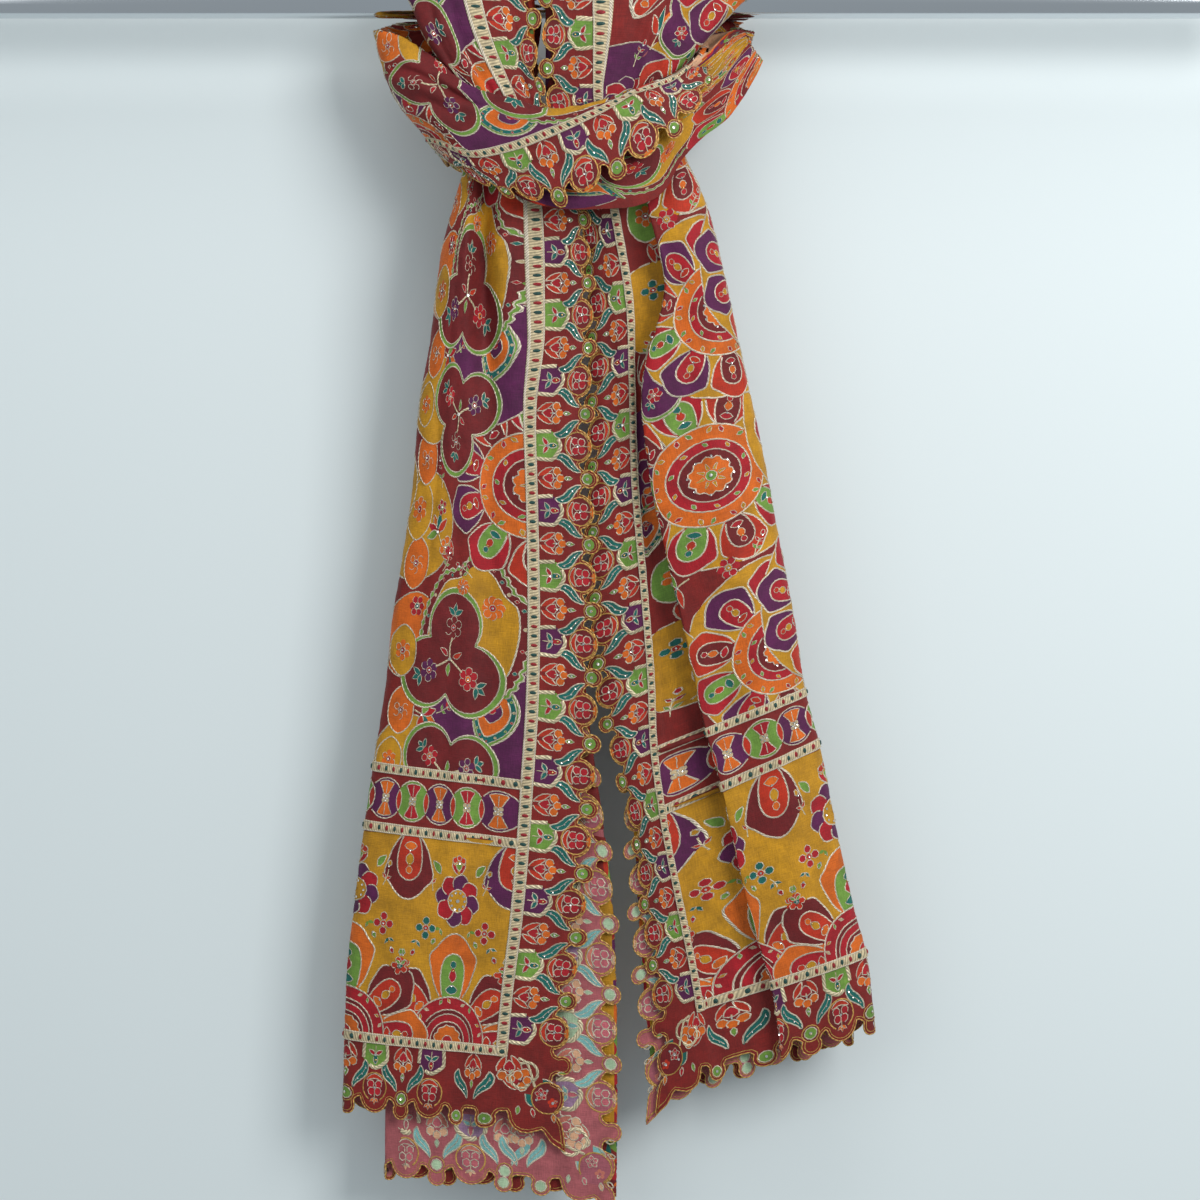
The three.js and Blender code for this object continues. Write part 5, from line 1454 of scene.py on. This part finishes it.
def strand(name, relief):
    """The tail and the rise of a strand."""
    st = STRANDS[name]
    ts = np.arange(-8, 770, 2.0)
    surf = {}
    for part, a, b in (("tail", -10, st["top"]), ("rise", st["top"], st["end"])):
        ss = np.linspace(a - (0 if part == "tail" else 1), b, int((b - a) / 2.5))
        surf[part] = Cloth(ss, ts, strand_rows(name, ss, ts), st["side"], relief)
    return surf


# t at the foot, t at the top, half width, depth, from s, to s, waver
LEFT_CREASES = [
    (72, 62, 5, -1.1, 300, 770, 1),
    (88, 80, 5, 0.9, 60, 420, 1.2),
    (128, 118, 9, -1.5, 120, 560, 0.8),
    (152, 158, 8, 1.4, 40, 380, 1.1),
    (168, 150, 7, -1.3, 330, 740, 0.9),
    (30, 24, 7, -0.9, 90, 400, 1.3),
    (22, 34, 8, 0.9, 380, 760, 0.7),
    (140, 132, 6, 1.1, 500, 780, 1),
    (230, 250, 12, -1.6, 60, 700, 0.8),
    (285, 270, 11, 1.5, 120, 760, 1),
    (330, 320, 9, -1.2, 200, 780, 1.2),
    (660, 640, 12, 1.2, 40, 600, 0.8),
    (712, 720, 9, -1.0, 20, 380, 1.1),
    (440, 450, 14, 1.0, 50, 700, 1),
    (80, 84, 4, 1.4, 800, 905, 2),
    (100, 92, 4, -1.6, 800, 905, 2),
    (34, 30, 6, -1.2, 800, 905, 1.5),
]
RIGHT_CREASES = [
    (70, 64, 6, -1.2, 200, 740, 1),
    (26, 20, 7, 1.0, 60, 420, 1.3),
    (36, 30, 7, -1.0, 360, 750, 1),
    (138, 128, 9, -1.7, 60, 420, 0.9),
    (166, 150, 8, 1.5, 120, 600, 1.1),
    (150, 142, 7, -1.3, 420, 750, 0.8),
    (128, 122, 6, 1.2, 500, 760, 1.2),
    (176, 168, 6, -1.1, 30, 380, 1),
    (225, 245, 12, -1.6, 60, 700, 0.8),
    (280, 268, 11, 1.5, 120, 740, 1),
    (325, 318, 9, -1.2, 200, 750, 1.2),
    (655, 640, 12, 1.2, 40, 600, 0.8),
    (715, 722, 9, -1.0, 20, 380, 1.1),
    (440, 452, 14, 1.0, 50, 700, 1),
    (84, 88, 5, 1.4, 780, 890, 2),
    (104, 98, 5, -1.6, 780, 890, 2),
    (30, 34, 6, -1.2, 780, 890, 1.5),
    (70, 66, 4, -1.2, 790, 890, 2),
]


def chain_part(chain, a, b):
    """The stretch of an edge chain between two lengths, cut in notches."""
    def cut(c):
        for i in range(len(chain) - 1):
            (d0, s0), (d1, s1) = chain[i], chain[i + 1]
            if s0 <= c <= s1:
                return i, (d0 + (d1 - d0) * (c - s0) / (s1 - s0), c)
        return len(chain) - 1, chain[-1]
    i, p = cut(a)
    j, q = cut(b)
    out = [p] + chain[i + 1:j + 1] + [q]
    return [r for k, r in enumerate(out) if k == 0 or math.dist(r, out[k - 1]) > 0.05]


def outline_bands(near, far, bottom, cuts):
    """Closed outlines, counter-clockwise in (t, s), between the cuts; near and far run upward."""
    out = []
    for k, (a, b) in enumerate(zip(cuts[:-1], cuts[1:])):
        p = chain_part(near, a, b)[::-1] + (bottom if k == 0 else []) + chain_part(far, a, b)
        p = np.array(p)
        out.append(p[np.linalg.norm(p - np.roll(p, 1, 0), axis=1) > 0.05])
    return out


def strand_edges(a, b, tail):
    """The two long edges, the end of a tail, and where bands are cut, from length a to b."""
    near = [(d, s) for s, d in scallop_line(side_lobes(), CORNER_SIDE if tail else a, b)]
    far = [(WIDTH - d, s) for d, s in near]
    bottom = []
    if tail:
        hem = scallop_line(end_lobes(), CORNER_HEM, WIDTH - CORNER_HEM)
        bottom = CORNER + hem + [(WIDTH - t, s) for t, s in CORNER[::-1]]
    lo = near[0][1]
    cuts = [lo] + [c for c in (SHIELD_0 + 15.5 + PITCH * i for i in range(-1, 20)) if lo + 20 < c < b - 20] + [b]
    return near, far, bottom, cuts


def cloth_piece(name, cloth, bands, art, cols, rows, node_name, both=None, folds=FOLDS):
    """A stretch's skin, which replaces its CAD node, with its threads and sequins."""
    lo, hi = np.min([q.min(0) for q in bands], 0), np.max([q.max(0) for q in bands], 0)
    ob = skin(name, cloth, bands, art, cols, rows, both)
    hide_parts(node_name)
    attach(ob, "root")

    def inside(t, s):
        ok = (t > lo[0] + 5) & (t < min(hi[0] - 5, FRONT)) & (s > lo[1] + 1.0) & (s < hi[1] - 1.0)
        for f in folds:
            ok &= ~((t > f - 7) & (t < f + 7))
        return ok

    def wrong(t, s):
        return (t > 584) & (t < WIDTH - 4) & (s > lo[1] + 1.0) & (s < hi[1] - 1.0)

    def rear(t, s):
        return (t > 132) & (t < hi[0] - 5) & (s > lo[1] + 2) & (s < hi[1] - 2)

    extra = [threads(name + "_threads", cloth, art, inside, wide=1.3), discs(name + "_sequins", cloth, art, inside)]
    if hi[0] > 600:
        extra.append(threads(name + "_inner_threads", cloth, art, wrong, -1, 3.4, 1.5))
    elif both is not None:
        extra.append(threads(name + "_inner_threads", cloth, art, rear, -1, 3.6, 1.2))
    for e in extra:
        if e:
            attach(e, "root")
            print(e.name, len(e.data.polygons), "faces")


for name, table, rows_relief in (("left", FIELD_A, LEFT_CREASES), ("right", FIELD_B, RIGHT_CREASES)):
    surf = strand(name, creases(rows_relief))
    top, end = STRANDS[name]["top"], STRANDS[name]["end"]
    art = new_art()
    pen = Pen(art)
    field_art(pen, table, PANELS[1] + 4, end, 56, 420)
    far_braid = WIDTH - SIDE_BRAID
    pen.box("red", -9, -12, SIDE_BRAID, 990)
    pen.fill("red", [(WIDTH + 9, -12), (WIDTH + 9, 990), (far_braid, 990), (far_braid, -12)], None)
    pen.box("red", SIDE_BRAID, PANELS[0], far_braid, PANELS[1])
    end_panel(pen, SIDE_BRAID, FRONT)
    pen.box("mustard", FRONT, HEM_BRAID, far_braid, PANELS[0])
    wheel_band(pen, SIDE_BRAID, FRONT)
    pen.box("red", -9, -12, WIDTH + 9, HEM_BRAID)
    pen.box("red", -9, HEM_BRAID - 1, SIDE_BRAID, 990)
    end_border(pen, -5, WIDTH + 5)
    side_border(pen, 70, end)
    side_border(pen, 70, end, False)
    for part, a, b in (("tail", 0, top), ("rise", top, end)):
        cloth = surf[part]
        tail = part == "tail"
        cols = columns([188 if tail else STRANDS[name]["fold"], 374, 564], 18, 744)
        if not tail:
            cols = sorted(set(cols) | set(np.arange(60, 190, 4.0)))
        rows = np.arange(a + (20 if tail else 3), b - 2, 6.0 if tail else 4.5)
        near, far, bottom, cuts = strand_edges(a, b, tail)
        bands = outline_bands(near, far, bottom, cuts)
        cloth_piece("%s_%s_cloth" % (name, part), cloth, bands, art, cols, rows, "%s_%s" % (name, part))
        edge_cord("%s_%s_edge_cord" % (name, part), cloth, near[::-1] + bottom + (far if bottom else []))
        path = [(SIDE_BRAID, max(a + 1, HEM_BRAID - 4)), (SIDE_BRAID, b - 1)]
        braid("%s_%s_side_braid_silk" % (name, part), cloth, path, ["%s_%s_braid" % (name, "side" if tail else "rise")])
        if tail:
            for s, label in ((HEM_BRAID, "hem"), (PANELS[0], "wheel_low"), (PANELS[1], "wheel_high")):
                halves = ("",) if name == "left" else ("_inner", "_outer")
                nodes = ["%s_%s_braid%s" % (name, label, half) for half in halves]
                path = [(SIDE_BRAID - 4 if s == HEM_BRAID else SIDE_BRAID + 3, s), (368, s)]
                braid("%s_%s_braid_silk" % (name, label), cloth, path, nodes)

# the loop
us = np.linspace(0, LOOP_LENGTH, int(LOOP_LENGTH / 2.2))
ts = np.arange(-8, LOOP_REAR + 2, 2.0)
P = np.stack([loop_row(rib_of(s), ts) for s in us])
cloth = Cloth(us, ts, P, -1, creases([(30, 26, 7, -0.8, 120, 330, 1.4)]))
art = new_art()
pen = Pen(art)
field_art(pen, FIELD_A, -120, LOOP_LENGTH, 56, LOOP_REAR)
pen.box("red", -9, -5, SIDE_BRAID, LOOP_LENGTH + 5)
k = 0
loop_lobes = [(30 + PITCH / 2 * i, i % 2 == 0) for i in range(30) if 30 + PITCH / 2 * i < LOOP_LENGTH - 20]
for at, small in loop_lobes:
    q = pen.move(SIDE_BRAID, at, 180)
    if small:
        border_between(q)
    else:
        border_unit(q, k)
        k += 1
near = [(d, s) for s, d in scallop_line(loop_lobes, 0.5, LOOP_LENGTH - 0.5)]
far = [(LOOP_REAR, s) for s in np.linspace(0.5, LOOP_LENGTH - 0.5, 60)]
cuts = [0.5] + [c for c in (56 + 15.5 + PITCH * i for i in range(12)) if c < LOOP_LENGTH - 22] + [LOOP_LENGTH - 0.5]
cols = sorted(set(np.arange(18, 60, 5.0)) | set(np.arange(60, 212, 3.0)) | set(np.arange(212, 378, 7.0)))
rows = np.arange(3, LOOP_LENGTH - 2, 4.5)
cloth_piece("loop_cloth", cloth, outline_bands(near, far, [], cuts), art, cols, rows, "loop", lambda t, s: t > 84, ())
edge_cord("loop_edge_cord", cloth, near[::-1])
braid("loop_braid_silk", cloth, [(SIDE_BRAID, 3), (SIDE_BRAID, LOOP_LENGTH - 3)], ["loop_braid"])

# ------------------------------------------------------------ the rail
n = 64
a = np.arange(n) * 2 * math.pi / n
# (along, radius) round the tube's wall
xs = [(-550, 11.0), (-550, 12.3), (-549.8, 12.5), (549.8, 12.5), (550, 12.3), (550, 11.0)]
V = np.array([(x, -r * math.cos(t), r * math.sin(t)) for x, r in xs for t in a])
rings = [(i * n, (i + 1) % len(xs) * n) for i in range(len(xs))]
F = np.array([(p + j, p + (j + 1) % n, q + (j + 1) % n, q + j) for p, q in rings for j in range(n)])
rail = new_mesh("rail_tube", V, F, CHROME)
rail.data.set_sharp_from_angle(angle=0.6)
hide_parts("rail")
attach(rail, "root")

# ------------------------------------------------------------ stage, light and camera
def wall_nodes(nt, b):
    """Plain from the front and clear from behind, so that the back of the cloth can be looked at."""
    side = node(nt, "ShaderNodeNewGeometry")
    clear = node(nt, "ShaderNodeBsdfTransparent")
    mix = node(nt, "ShaderNodeMixShader")
    nt.links.new(side.outputs["Backfacing"], mix.inputs[0])
    nt.links.new(b.outputs[0], mix.inputs[1])
    nt.links.new(clear.outputs[0], mix.inputs[2])
    nt.links.new(mix.outputs[0], nt.nodes["Material Output"].inputs["Surface"])


wall = material("Wall", (0.70, 0.76, 0.765), 0.9, build=wall_nodes)
v = np.array([(-2600, 62, -2600), (2600, 62, -2600), (2600, 62, 1800), (-2600, 62, 1800)])
backdrop = new_mesh("backdrop", v, np.array([[0, 1, 2, 3]]), wall, smooth_faces=False)

world = bpy.data.worlds.new("World")
bpy.context.scene.world = world
world.use_nodes = True
world.node_tree.nodes["Background"].inputs["Color"].default_value = (0.80, 0.88, 0.93, 1)
world.node_tree.nodes["Background"].inputs["Strength"].default_value = 0.47


def area(name, at, target, size, power):
    """Rectangular lamp at a place, turned to a target."""
    lamp = bpy.data.lights.new(name, "AREA")
    lamp.shape, lamp.size, lamp.size_y, lamp.energy = "RECTANGLE", size[0], size[1], power
    ob = bpy.data.objects.new(name, lamp)
    bpy.context.scene.collection.objects.link(ob)
    ob.location = at
    ob.rotation_euler = (Vector(target) - Vector(at)).to_track_quat("-Z", "Y").to_euler()


area("Key", (1.35, -1.7, 0.35), (0, 0, -0.45), (1.0, 1.2), 34)
area("Fill", (-1.6, -2.0, 0.1), (0, 0, -0.5), (1.6, 1.8), 9)
area("Top", (0.1, -0.9, 1.4), (0, 0, -0.3), (1.2, 0.8), 9)

cam = bpy.data.cameras.new("Camera")
cam.lens, cam.sensor_width = 85, 36
cam.clip_start, cam.clip_end = 0.05, 20
camera = bpy.data.objects.new("Camera", cam)
bpy.context.scene.collection.objects.link(camera)
camera.location = (gx(600) / 1000, -2.285, gz(600) / 1000)
camera.rotation_euler = (math.pi / 2, 0, 0)
bpy.context.scene.camera = camera
bpy.context.scene.view_settings.view_transform = "Standard"
